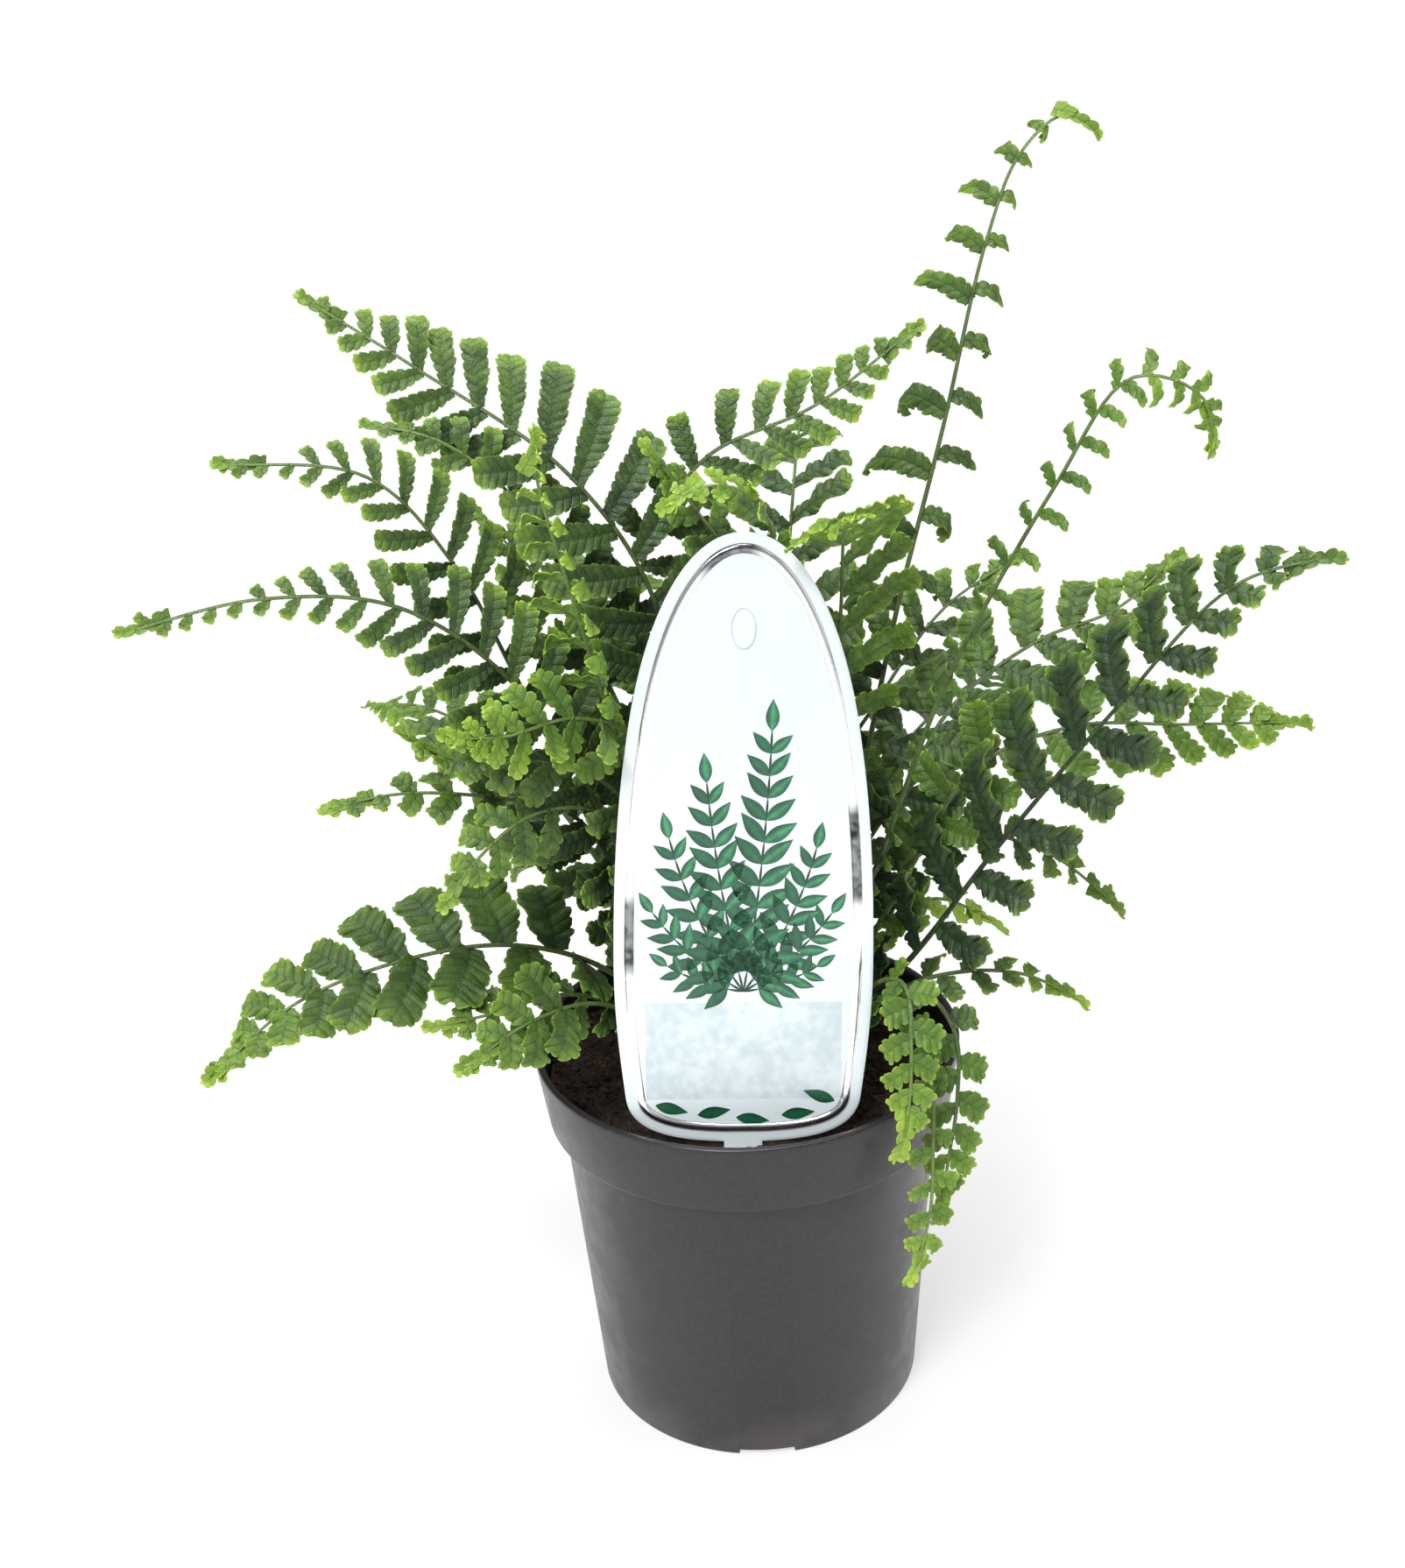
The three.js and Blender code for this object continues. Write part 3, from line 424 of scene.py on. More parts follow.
class PotPlastic(Finish):
    """Charcoal black moulded plastic, satin, with a faint speckle and a trace of dust near the foot."""

    def paint(self) -> None:
        """Speckle and dust in the colour, patches in the roughness, a fine grain in the relief."""
        graph = self.graph
        speckle = self.mottle(700.0)
        cloud = self.mottle(18.0)
        black = graph.mix(speckle, (0.014, 0.012, 0.013, 1), (0.022, 0.019, 0.021, 1))
        height = graph.node("SeparateXYZ", {0: self.place}).outputs[2]
        low = graph.span(height, 0.0, 0.02, 0.35, 0.0)
        dusty = graph.mix(graph.math("MULTIPLY", low, cloud), black, (0.14, 0.12, 0.11, 1))
        rough = self.mottle(45.0, 0.30, 0.40)
        grain = self.grain(1800.0, 0.2)
        self.feed(Base_Color=dusty, Roughness=rough, Normal=graph.bump(grain, 0.2, 0.0001))


class PottingSoil(Finish):
    """Dark damp peat with paler crumbs and reddish chips of bark."""

    def paint(self) -> None:
        """The chip channel picks the reddish wood, and patches of damp vary the rest."""
        graph = self.graph
        damp = self.mottle(260.0)
        peat = graph.mix(damp, (0.008, 0.005, 0.004, 1), (0.035, 0.020, 0.013, 1))
        wood = graph.mix(damp, (0.07, 0.026, 0.014, 1), (0.17, 0.075, 0.04, 1))
        colour = graph.mix(graph.held("chip"), peat, wood)
        grain = self.grain(900.0, 0.6)
        self.feed(Base_Color=colour, Roughness=0.95, Normal=graph.bump(grain, 0.7, 0.0006))


class CrownBark(Finish):
    """Brown rootstock and the papery scales on it, streaked lighter."""

    def paint(self) -> None:
        """The chip channel lightens single scales."""
        graph = self.graph
        streak = self.mottle(350.0)
        dark = graph.mix(streak, (0.018, 0.010, 0.006, 1), (0.06, 0.03, 0.015, 1))
        colour = graph.mix(graph.held("chip"), dark, (0.20, 0.10, 0.045, 1))
        grain = self.grain(1200.0, 0.4)
        self.feed(Base_Color=colour, Roughness=0.8, Normal=graph.bump(grain, 0.5, 0.0003))


class LabelGloss(Finish):
    """Glossy card, pale ice blue that clears to white, with a bead of silver foil with dark painted
    reflections.
    """

    def paint(self) -> None:
        """The face map holds millimetres / 100 across and up; the silver channel picks out the bead."""
        graph = self.graph
        across, up = graph.face()
        cloud = self.mottle(22.0, -0.15, 0.15)
        depth = graph.math("ADD", graph.span(up, 0.5, 1.5, 0.1, 1.0), cloud, clamp=True)
        card = graph.mix(depth, (0.76, 0.85, 0.875, 1), (0.66, 0.71, 0.73, 1))
        low = graph.window(up, 0.13, 0.43, 0.005)
        inside = graph.span(graph.math("ABSOLUTE", across), 0.275, 0.28, 1.0, 0.0)
        patch = self.mottle(90.0)
        band = graph.mix(patch, (0.55, 0.65, 0.68, 1), (0.70, 0.78, 0.81, 1))
        banded = graph.mix(graph.math("MULTIPLY", low, inside), card, band)
        silver = graph.held("silver")
        reflection_breakup = self.mottle(120.0, 0.7, 1.0)
        # painted reflections: dark stretches on the silver bead, broken up by soft patches
        painted_reflections = graph.math("MULTIPLY", self.painted_reflections(across, up), reflection_breakup)
        foil_with_painted_reflections = graph.mix(painted_reflections, (0.93, 0.94, 0.95, 1), (0.02, 0.02, 0.022, 1))
        rough = graph.math("MULTIPLY_ADD", silver, -0.1, 0.26)
        grain = self.grain(350.0, 0.0)
        normal = graph.bump(grain, 0.06, 0.0004)
        colour = graph.mix(silver, banded, foil_with_painted_reflections)
        self.feed(Base_Color=colour, Metallic=silver, Roughness=rough, Normal=normal, Coat_Weight=0.4)

    def painted_reflections(self, across: Input, up: Input) -> bpy.types.NodeSocket:
        """Stretches of the bead with dark painted reflections: each a smooth window across or up the tag."""
        graph = self.graph
        total: Input = 0.0
        stretches = (
            (up, 0.70, 1.02, across, 0.0, 1.0),
            (up, 0.50, 0.76, across, -1.0, 0.0),
            (across, -0.13, 0.06, up, 1.6, 2.0),
        )
        for value, low, high, other, first, last in stretches:
            past = graph.math("GREATER_THAN", other, first)
            side = graph.math("MULTIPLY", past, graph.math("LESS_THAN", other, last))
            total = graph.math("MULTIPLY_ADD", graph.window(value, low, high, 0.05), side, total)
        return graph.math("MINIMUM", total, 1.0)


class PrintedLeaf(Finish):
    """Printed green ink, darker on one side of each leaf."""

    stops = (
        (0.0, (0.005, 0.035, 0.018, 1)),
        (0.6, (0.012, 0.125, 0.055, 1)),
        (1.0, (0.060, 0.300, 0.130, 1)),
    )

    def paint(self) -> None:
        """The light channel picks the shade, and patches break up the ink."""
        graph = self.graph
        ink = self.mottle(160.0, -0.1, 0.1)
        shade = graph.math("ADD", graph.held("light"), ink, clamp=True)
        self.feed(Base_Color=graph.ramp(shade, self.stops), Roughness=0.3, Coat_Weight=0.4)


class LeafTissue(Finish):
    """Fern leaf: dark old green to pale yellow-green by the light channel, which also holds painted shade and
    painted light, with a dark rib and veins.
    """

    stops = (
        (0.0, (0.018, 0.037, 0.014, 1)),
        (0.3, (0.060, 0.115, 0.022, 1)),
        (0.6, (0.140, 0.245, 0.030, 1)),
        (1.0, (0.350, 0.510, 0.060, 1)),
    )
    old_stalk = (0.017, 0.034, 0.012, 1)
    young_stalk = (0.19, 0.28, 0.07, 1)
    brown = (0.085, 0.045, 0.022, 1)

    def paint(self) -> None:
        """Veins run along the face map's whole numbers, which count the teeth of the leaflet's edge."""
        graph = self.graph
        teeth, across = graph.face()
        vein = graph.span(graph.math("PINGPONG", teeth, 0.5), 0.0, 0.12, 1.0, 0.0)
        rim = graph.span(graph.math("ABSOLUTE", across), 0.86, 1.0, 0.0, 0.22)
        patch = self.mottle(110.0, -0.09, 0.09)
        light = graph.math("ADD", graph.math("ADD", graph.held("light"), patch), rim)
        veined = graph.math("MULTIPLY_ADD", vein, -0.045, light)
        ribbed = graph.math("MULTIPLY_ADD", graph.held("rib"), -0.16, veined, clamp=True)
        leaf = graph.ramp(ribbed, self.stops)
        stalk = graph.mix(graph.math("MULTIPLY", light, 1.1, clamp=True), self.old_stalk, self.young_stalk)
        green = graph.mix(graph.held("stalk"), leaf, stalk)
        colour = graph.mix(graph.held("brown"), green, self.brown)
        rough = self.mottle(160.0, 0.36, 0.52)
        grain = self.grain(1500.0, 0.5)
        folds = self.mottle(260.0)
        height = graph.math("MULTIPLY_ADD", folds, 0.4, graph.math("MULTIPLY_ADD", vein, -1.2, grain))
        self.feed(Base_Color=colour, Roughness=rough, Normal=graph.bump(height, 0.6, 0.0003))
        self.feed(Specular_IOR_Level=0.35)


class YoungLeafTissue(LeafTissue):
    """The same leaf, newer: clearer and yellower greens on green stalks."""

    stops = (
        (0.0, (0.028, 0.064, 0.014, 1)),
        (0.4, (0.092, 0.178, 0.022, 1)),
        (0.7, (0.195, 0.325, 0.034, 1)),
        (1.0, (0.370, 0.530, 0.065, 1)),
    )


class FloorPaper(Finish):
    """Plain white paper under the plant, which glows evenly like a light table, more so far away."""

    def paint(self) -> None:
        """The glow rises with the distance from the plant, and the faintest clouding lies over the paper."""
        graph = self.graph
        away = graph.node("VectorMath", {0: self.place}, operation="LENGTH").outputs["Value"]
        glow = graph.mix(graph.span(away, 0.3, 2.5, 0.0, 1.0), (0.6, 0.6, 0.6, 1), (0.9, 0.9, 0.9, 1))
        cloud = self.mottle(3.0)
        colour = graph.mix(cloud, (0.43, 0.43, 0.43, 1), (0.45, 0.45, 0.45, 1))
        self.feed(Base_Color=colour, Roughness=0.95, Emission_Color=glow, Emission_Strength=1.0)


# The pot

@dataclass(frozen=True)
class Pot:
    """Thin black nursery pot: a deep collar, a tapered wall, a foot with notches and drain holes."""

    height: float = 120.0
    rim_radius: float = 65.0
    rim_width: float = 2.2
    wall: float = 1.5
    collar_height: float = 23.0
    collar_foot_radius: float = 62.0
    shoulder_radius: float = 57.8
    foot_radius: float = 50.8
    foot_width: float = 5.0
    floor_lift: float = 2.5
    floor_thickness: float = 2.0
    pad_radius: float = 12.0
    drain_count: int = 6
    drain_ring: float = 31.0
    drain_radius: float = 4.0
    drain_sides: int = 24
    notch_count: int = 4
    notch_width: float = 17.0
    notch_height: float = 2.0
    sides: int = 144

    @property
    def collar_foot(self) -> float:
        """Height of the step under the collar."""
        return self.height - self.collar_height

    @property
    def floor_top(self) -> float:
        """Height of the floor's upper face."""
        return self.floor_lift + self.floor_thickness

    def inner_radius(self, z: Array | float) -> Array:
        """Radius of the inside at a height: straight up the wall, a step, then straight up the collar."""
        t = (z - self.collar_foot - 2) / (self.height - self.collar_foot - 2)
        collar = lerp(self.collar_foot_radius, self.rim_radius, t) - self.rim_width + 0.2
        wall = lerp(self.foot_radius, self.shoulder_radius, z / self.collar_foot) - self.wall
        return np.where(np.asarray(z) > self.collar_foot + 2, collar, wall)

    def profile(self) -> Array:
        """Radius and height from the middle of the underside, up the outside, over the rim and down."""
        foot, step = self.foot_radius, self.collar_foot
        lip = self.rim_radius - self.rim_width
        corners = np.array([
            [0.4, 0],
            [self.pad_radius, 0],
            [self.pad_radius + 1, self.floor_lift],
            [foot - self.foot_width - 1, self.floor_lift],
            [foot - self.foot_width, 0],
            [foot - 0.1, 0],
            [self.shoulder_radius, step - 0.6],
            [self.collar_foot_radius, step + 0.4],
            [self.rim_radius, self.height - 1],
            [self.rim_radius - 0.2, self.height],
            [lip - 0.1, self.height],
            [float(self.inner_radius(step + 2.01)), step + 2],
            [float(self.inner_radius(step - 2)), step - 2],
            [float(self.inner_radius(self.floor_top)), self.floor_top],
            [0.4, self.floor_top],
        ])
        return rounded(corners, 0.9, 4)

    def angles(self) -> Array:
        """Bearings of the wall's columns: evenly round, with a close pair at each side of every notch."""
        half = self.notch_width / 2 / self.foot_radius
        middles = np.arange(self.notch_count) * 2 * math.pi / self.notch_count - math.pi / 2
        edges = middles[:, None] + np.array([-half - 0.004, -half, half, half + 0.004])
        even = np.arange(self.sides) * 2 * math.pi / self.sides
        near = np.abs(np.angle(np.exp(1j * (even[:, None] - edges.ravel())))).min(1)
        return np.sort(np.concatenate([even[near > 0.012], edges.ravel() % (2 * math.pi)]))

    def build(self, material: bpy.types.Material) -> bpy.types.Object:
        """Turns the profile about Z, lifts the foot over the notches and cuts the drain holes."""
        profile, angles = self.profile(), self.angles()
        r, z = profile[:, :1], profile[:, 1:] + 0 * angles
        half = self.notch_width / 2 / self.foot_radius
        turn = 2 * math.pi / self.notch_count
        from_notch = np.abs((angles + math.pi / 2 + turn / 2) % turn - turn / 2)
        lift = self.notch_height * (from_notch < half + 0.002)
        at_foot = (r > self.foot_radius - self.foot_width - 1.5) & (profile[:, 1:] < self.notch_height)
        at_foot &= np.arange(len(profile))[:, None] < len(profile) // 2
        z = np.where(at_foot, np.maximum(z, lift), z)
        points = np.stack([r * np.cos(angles), r * np.sin(angles), z], -1)
        skin = Skin()
        skin.add(points, tube_faces(*points.shape[:2], flip=True))
        piece = skin.piece("nursery_pot", material, crease=35)
        carve(piece, self.drain_cutter())
        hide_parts("pot")
        return piece

    def drain_cutter(self) -> bpy.types.Object:
        """Short upright rods where the drain holes go."""
        skin = Skin()
        around = np.arange(self.drain_sides) * 2 * math.pi / self.drain_sides
        heights = np.array([-self.floor_lift, 3 * self.floor_lift])[:, None]
        for number in range(self.drain_count):
            bearing = (number + 0.5) * 2 * math.pi / self.drain_count
            x = self.drain_ring * math.cos(bearing) + self.drain_radius * np.cos(around)
            y = self.drain_ring * math.sin(bearing) + self.drain_radius * np.sin(around)
            rod = np.stack(np.broadcast_arrays(x, y, heights), -1)
            skin.add(rod, tube_faces(2, self.drain_sides, flip=True))
        return skin.piece("drain_cutter", bpy.data.materials.new("unused"))


def rounded(corners: Array, radius: float, steps: int) -> Array:
    """A row of points with each inner corner cut to a short arc.

    The arc is first (1 - t)² + corner 2t(1 - t) + last t², where first and last lie on the two sides, as
    far from the corner as the radius or 0.4 of that side, whichever is less.

    Args:
        corners: The points, one a row.
        radius: How far from a corner its arc starts.
        steps: How many stretches an arc has.

    Returns:
        The new row of points.
    """
    before, at, after = corners[:-2], corners[1:-1], corners[2:]
    back, on = before - at, after - at
    back_length = np.linalg.norm(back, axis=1, keepdims=True)
    on_length = np.linalg.norm(on, axis=1, keepdims=True)
    first = at + back * np.minimum(radius / back_length, 0.4)
    last = at + on * np.minimum(radius / on_length, 0.4)
    t = np.linspace(0, 1, steps + 1)[None, :, None]
    arcs = first[:, None] * (1 - t) ** 2 + at[:, None] * 2 * t * (1 - t) + last[:, None] * t * t
    return np.concatenate([corners[:1], arcs.reshape(-1, corners.shape[1]), corners[-1:]])


# Soil and crown

@dataclass(frozen=True)
class Crown:
    """Low mound of rootstock and old frond bases, sunk in the soil."""

    radius: float = 27.0
    bottom: float = 103.0
    rim: float = 109.0
    top: float = 117.5
    flat: float = 23.0
    seat_depth: float = 4.5
    scale_count: int = 620
    scale_length: tuple[float, float] = (3.5, 7.5)
    scale_width: tuple[float, float] = (0.9, 1.7)
    scale_thickness: float = 0.22
    rings: tuple[tuple[float, int, float], ...] = ((6.5, 6, 0), (13.5, 12, 15), (20.5, 18, 0))

    def surface(self, radius: Array | float) -> Array:
        """Height of the mound at a distance from the axis: flat, then sloping down to its rim."""
        return lerp(self.top, self.rim, np.clip((radius - self.flat) / (self.radius - self.flat), 0, 1))

    def seat(self, ring: int, place: int) -> Array:
        """Foot of the stalk that stands in a place of a ring."""
        radius, places, first = self.rings[ring]
        bearing = (first + place * 360 / places) * DEG
        height = float(self.surface(radius)) - self.seat_depth
        return np.array([radius * math.cos(bearing), radius * math.sin(bearing), height])

    def build(self, material: bpy.types.Material) -> bpy.types.Object:
        """Covers the mound with papery scales that stand up and lean outwards.

        A scale is a spindle: a square section carried along a bent line, wide in the middle and thin,
        with both ends drawn to a point.
        """
        rng = np.random.default_rng(7)
        count = self.scale_count
        radius = (self.radius + 1.0) * np.sqrt(rng.random(count))
        bearing = rng.random(count) * 2 * math.pi
        out = np.stack([np.cos(bearing), np.sin(bearing), 0 * bearing], -1)
        foot = out * radius[:, None]
        foot[:, 2] = self.surface(radius) - 0.4
        lean = (lerp(10, 62, radius / self.radius) + rng.normal(0, 14, count)) * DEG
        spin = rng.normal(0, 0.5, count)
        side = np.stack([-np.sin(bearing + spin), np.cos(bearing + spin), 0 * bearing], -1)
        out = np.stack([np.cos(bearing + spin), np.sin(bearing + spin), 0 * bearing], -1)
        along = out * np.sin(lean)[:, None] + np.array([0, 0, 1]) * np.cos(lean)[:, None]
        length, width = rng.uniform(*self.scale_length, count), rng.uniform(*self.scale_width, count)
        sizes = np.stack([length, width, np.full(count, self.scale_thickness)], -1)
        skin = Skin("chip")
        points, faces = spindles(foot, along, side, sizes, bend=0.22)
        chip = np.repeat(rng.random(count) ** 2, points.shape[1])
        skin.add(points, [faces], chip=chip)
        piece = skin.piece("crown_scales", material)
        return piece


def spindles(foot: Array, along: Array, side: Array, sizes: Array, bend: float = 0.0) -> tuple[Array, Array]:
    """Many thin closed scales at once.

    Each has a point at its foot, two four-cornered sections at 0.3 and 0.7 of its length, and a point at
    its tip. Its line bends towards its face by bend times its length times the share squared.

    Args:
        foot: Where each starts.
        along: The way each grows.
        side: The way across each.
        sizes: Length, width and thickness of each.
        bend: How far the tips bend over, as a share of the length.

    Returns:
        The points, (scales, 10, 3), and all triangles.
    """
    side = unit(side - along * np.sum(side * along, -1, keepdims=True))
    face = np.cross(side, along)
    length, width, thick = (sizes[:, k, None, None] for k in range(3))
    u = np.array([0, 0.3, 0.3, 0.3, 0.3, 0.7, 0.7, 0.7, 0.7, 1])[None, :, None]
    v = np.array([0, 1, 0, -1, 0, 0.7, 0, -0.7, 0, 0])[None, :, None] / 2
    w = np.array([0, 0, 1, 0, -1, 0, 1, 0, -1, 0])[None, :, None] / 2
    points = foot[:, None] + along[:, None] * (u * length) + side[:, None] * (v * width)
    points = points + face[:, None] * (w * thick + bend * length * u * u)
    fan = [[0, 1 + (k + 1) % 4, 1 + k] for k in range(4)]
    wall = [[1 + k, 1 + (k + 1) % 4, 5 + (k + 1) % 4] for k in range(4)]
    wall += [[1 + k, 5 + (k + 1) % 4, 5 + k] for k in range(4)]
    end = [[9, 5 + k, 5 + (k + 1) % 4] for k in range(4)]
    base = np.array(fan + wall + end)
    faces = (np.arange(len(foot))[:, None, None] * 10 + base[None]).reshape(-1, 3)
    return points, faces


def lumps(seats: Array, sizes: Array, rng: np.random.Generator) -> tuple[Array, Array]:
    """Many rough closed grains at once: icosahedra with uneven corners, each turned its own way.

    Args:
        seats: Where each lies.
        sizes: Its three half sizes.
        rng: Where its uneven corners and its turn come from.

    Returns:
        The points, (grains, 12, 3), and all triangles.
    """
    g = (1 + math.sqrt(5)) / 2
    flat = np.array([[-1, g, 0], [1, g, 0], [-1, -g, 0], [1, -g, 0]]) / math.sqrt(1 + g * g)
    corners = np.concatenate([flat, np.roll(flat, 1, 1), np.roll(flat, 2, 1)])
    base = np.array([
        [0, 11, 5], [0, 5, 1], [0, 1, 7], [0, 7, 10], [0, 10, 11], [1, 5, 9], [5, 11, 4],
        [11, 10, 2], [10, 7, 6], [7, 1, 8], [3, 9, 4], [3, 4, 2], [3, 2, 6], [3, 6, 8],
        [3, 8, 9], [4, 9, 5], [2, 4, 11], [6, 2, 10], [8, 6, 7], [9, 8, 1],
    ])
    count = len(seats)
    shape = corners[None] * rng.uniform(0.72, 1.18, (count, 12, 1)) * sizes[:, None]
    turn = rng.random((count, 2)) * 2 * math.pi
    lean = rng.normal(0, 0.35, count)
    c, s = np.cos(turn[:, :1]), np.sin(turn[:, :1])
    x, y, z = shape[..., 0] * c - shape[..., 1] * s, shape[..., 0] * s + shape[..., 1] * c, shape[..., 2]
    c, s = np.cos(lean)[:, None], np.sin(lean)[:, None]
    y, z = y * c - z * s, y * s + z * c
    c, s = np.cos(turn[:, 1:]), np.sin(turn[:, 1:])
    points = np.stack([x * c - y * s, x * s + y * c, z], -1) + seats[:, None]
    faces = (np.arange(count)[:, None, None] * 12 + base[None]).reshape(-1, 3)
    return points, faces


@dataclass(frozen=True)
class Soil:
    """Potting soil that fills the pot, with a lumpy top, crumbs, chips of bark and fine roots."""

    pot: Pot
    crown: Crown
    level: float = 109.0
    roughness: float = 1.2
    clearance: float = 0.8
    gap: float = 0.3
    crumbs: int = 2300
    chips: int = 190
    fibres: int = 70
    sides: int = 180

    def height(self, x: Array, y: Array) -> Array:
        """Top of the soil: long swells and short ones, each a product of two sines."""
        long = np.sin(x * 0.13 + 1) * np.cos(y * 0.11 - 0.4)
        short = np.sin(x * 0.37 - 0.6) * np.sin(y * 0.41 + 0.9)
        return self.level + self.roughness * (0.6 * long + 0.4 * short)

    def crumble(self, x: Array, y: Array) -> Array:
        """Small lumps on the top: crossed sines whose directions turn with their fineness."""
        first = np.sin(1.1 * x + 0.7 * y) * np.sin(0.8 * y - 0.9 * x + 1)
        second = np.sin(2.3 * x - 1.4 * y + 2) * np.sin(1.9 * y + 1.6 * x)
        third = np.sin(4.1 * x + 2.9 * y) * np.sin(3.7 * y - 4.3 * x + 0.5)
        return 0.45 * first + 0.3 * second + 0.15 * third

    def build(self, material: bpy.types.Material, label: "Label") -> bpy.types.Object:
        """A lathe shape whose top is displaced, with a well for the crown and a slot for the stake."""
        pot, crown = self.pot, self.crown
        low = pot.floor_top + self.gap
        edge = float(pot.inner_radius(self.level)) - self.clearance
        well = crown.radius + self.gap
        side = [
            [0.4, low],
            [float(pot.inner_radius(low)) - self.clearance, low],
            [float(pot.inner_radius(pot.collar_foot - 2)) - self.clearance, pot.collar_foot - 1.5],
            [float(pot.inner_radius(pot.collar_foot + 2.01)) - self.clearance, pot.collar_foot + 3.5],
        ]
        top = np.linspace(edge, well + 0.4, 56)
        bed = crown.bottom - self.gap
        sunk = [[well, crown.rim - 0.2], [crown.radius - 5, bed], [0.4, bed]]
        profile = np.concatenate([side, np.stack([top, np.full(len(top), self.level)], -1), sunk])
        angles = np.arange(self.sides) * 2 * math.pi / self.sides
        r = profile[:, :1]
        x, y = r * np.cos(angles), r * np.sin(angles)
        z = profile[:, 1:] + 0 * angles
        on_top = (profile[:, 1:] == self.level) & (r > well)
        fade = ease(r, well, well + 3) * ease(edge - r, 0.0, 2.0)
        z = np.where(on_top, self.height(x, y) + fade * self.crumble(x, y), z)
        skin = Skin("chip")
        skin.add(np.stack([x, y, z], -1), tube_faces(len(profile), self.sides, flip=True))
        piece = skin.piece("potting_soil", material)
        carve(piece, label.slot_cutter())
        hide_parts("soil")
        return piece

    def build_crumbs(self, material: bpy.types.Material, label: "Label") -> bpy.types.Object:
        """Loose crumbs, flat chips of bark and bits of root that lie on the soil."""
        rng = np.random.default_rng(11)
        skin = Skin("chip")
        crumb_kind = (self.crumbs, (0.45, 1.7), (1.0, 0.9, 0.7), 0.16, 2.0)
        chip_kind = (self.chips, (1.2, 3.0), (1.0, 0.42, 0.2), 1.0, 0.5)
        for count, (small, large), form, reddish, rarity in (crumb_kind, chip_kind):
            seats = self.scatter(count, rng, label)
            size = small * (large / small) ** (rng.random(len(seats)) ** 1.5)
            seats[:, 2] += 0.25 * size * form[2]
            points, faces = lumps(seats, size[:, None] * np.array(form), rng)
            chip = np.repeat(reddish * rng.random(len(seats)) ** rarity, 12)
            skin.add(points, [faces], chip=chip)
        for seat in self.scatter(self.fibres, rng, label):
            skin.add(*self.fibre(seat, rng), chip=0.75)
        piece = skin.piece("soil_crumbs", material, crease=30)
        return piece

    def scatter(self, count: int, rng: np.random.Generator, label: "Label") -> Array:
        """Seats on the soil, clear of the crown, the wall and the label's stake."""
        outer = float(self.pot.inner_radius(self.level)) - 1.6
        radius = np.sqrt(rng.uniform((self.crown.radius + 0.6) ** 2, outer**2, count))
        bearing = rng.random(count) * 2 * math.pi
        x, y = radius * np.cos(bearing), radius * np.sin(bearing)
        seats = np.stack([x, y, self.height(x, y) + self.crumble(x, y)], -1)
        local = label.local(seats)
        near = (np.abs(local[:, 2]) < 3.2) & (np.abs(local[:, 0]) < label.corner[0] + 2)
        return seats[~near]

    def fibre(self, seat: Array, rng: np.random.Generator) -> tuple[Array, list[Array]]:
        """One bit of root: a thin tube along an arc that lies on the soil, 7 rings of 4 points."""
        length, heading, bow = rng.uniform(4, 11), rng.random() * 2 * math.pi, rng.uniform(-0.3, 0.3)
        t = np.linspace(-0.5, 0.5, 7)
        way = np.array([math.cos(heading), math.sin(heading), 0])
        side = np.array([-way[1], way[0], 0])
        line = seat + way * (length * t)[:, None] + side * (bow * length * (0.25 - t * t))[:, None]
        away = np.hypot(line[:, 0], line[:, 1])
        off = (away > float(self.pot.inner_radius(self.level)) - 1.5) | (away < self.crown.radius + 0.8)
        line = np.where(off[:, None], seat, line)
        line[:, 2] = self.height(line[:, 0], line[:, 1]) + self.crumble(line[:, 0], line[:, 1]) + 0.35
        line = line + side * (np.arange(7) * 1e-3)[:, None]
        around = np.arange(4) * math.pi / 2
        ring = side * np.cos(around)[:, None] + np.array([0, 0, 1]) * np.sin(around)[:, None]
        points = line[:, None] + 0.16 * ring[None] * (1.2 - 0.8 * np.abs(t))[:, None, None]
        return points, tube_faces(7, 4)


# The label

def handled_arc(points: Sequence[Sequence[float]], steps: int) -> Array:
    """A smooth arc from a to d, with handles b and c: a(1-t)³ + 3bt(1-t)² + 3ct²(1-t) + dt³.

    Args:
        points: The four points a to d.
        steps: How many points the arc gives. The last would be d, which is left off.

    Returns:
        The arc's points.
    """
    a, b, c, d = np.array(points, float)[:, None]
    t = np.arange(steps)[:, None] / steps
    return a * (1 - t) ** 3 + 3 * b * t * (1 - t) ** 2 + 3 * c * t * t * (1 - t) + d * t**3


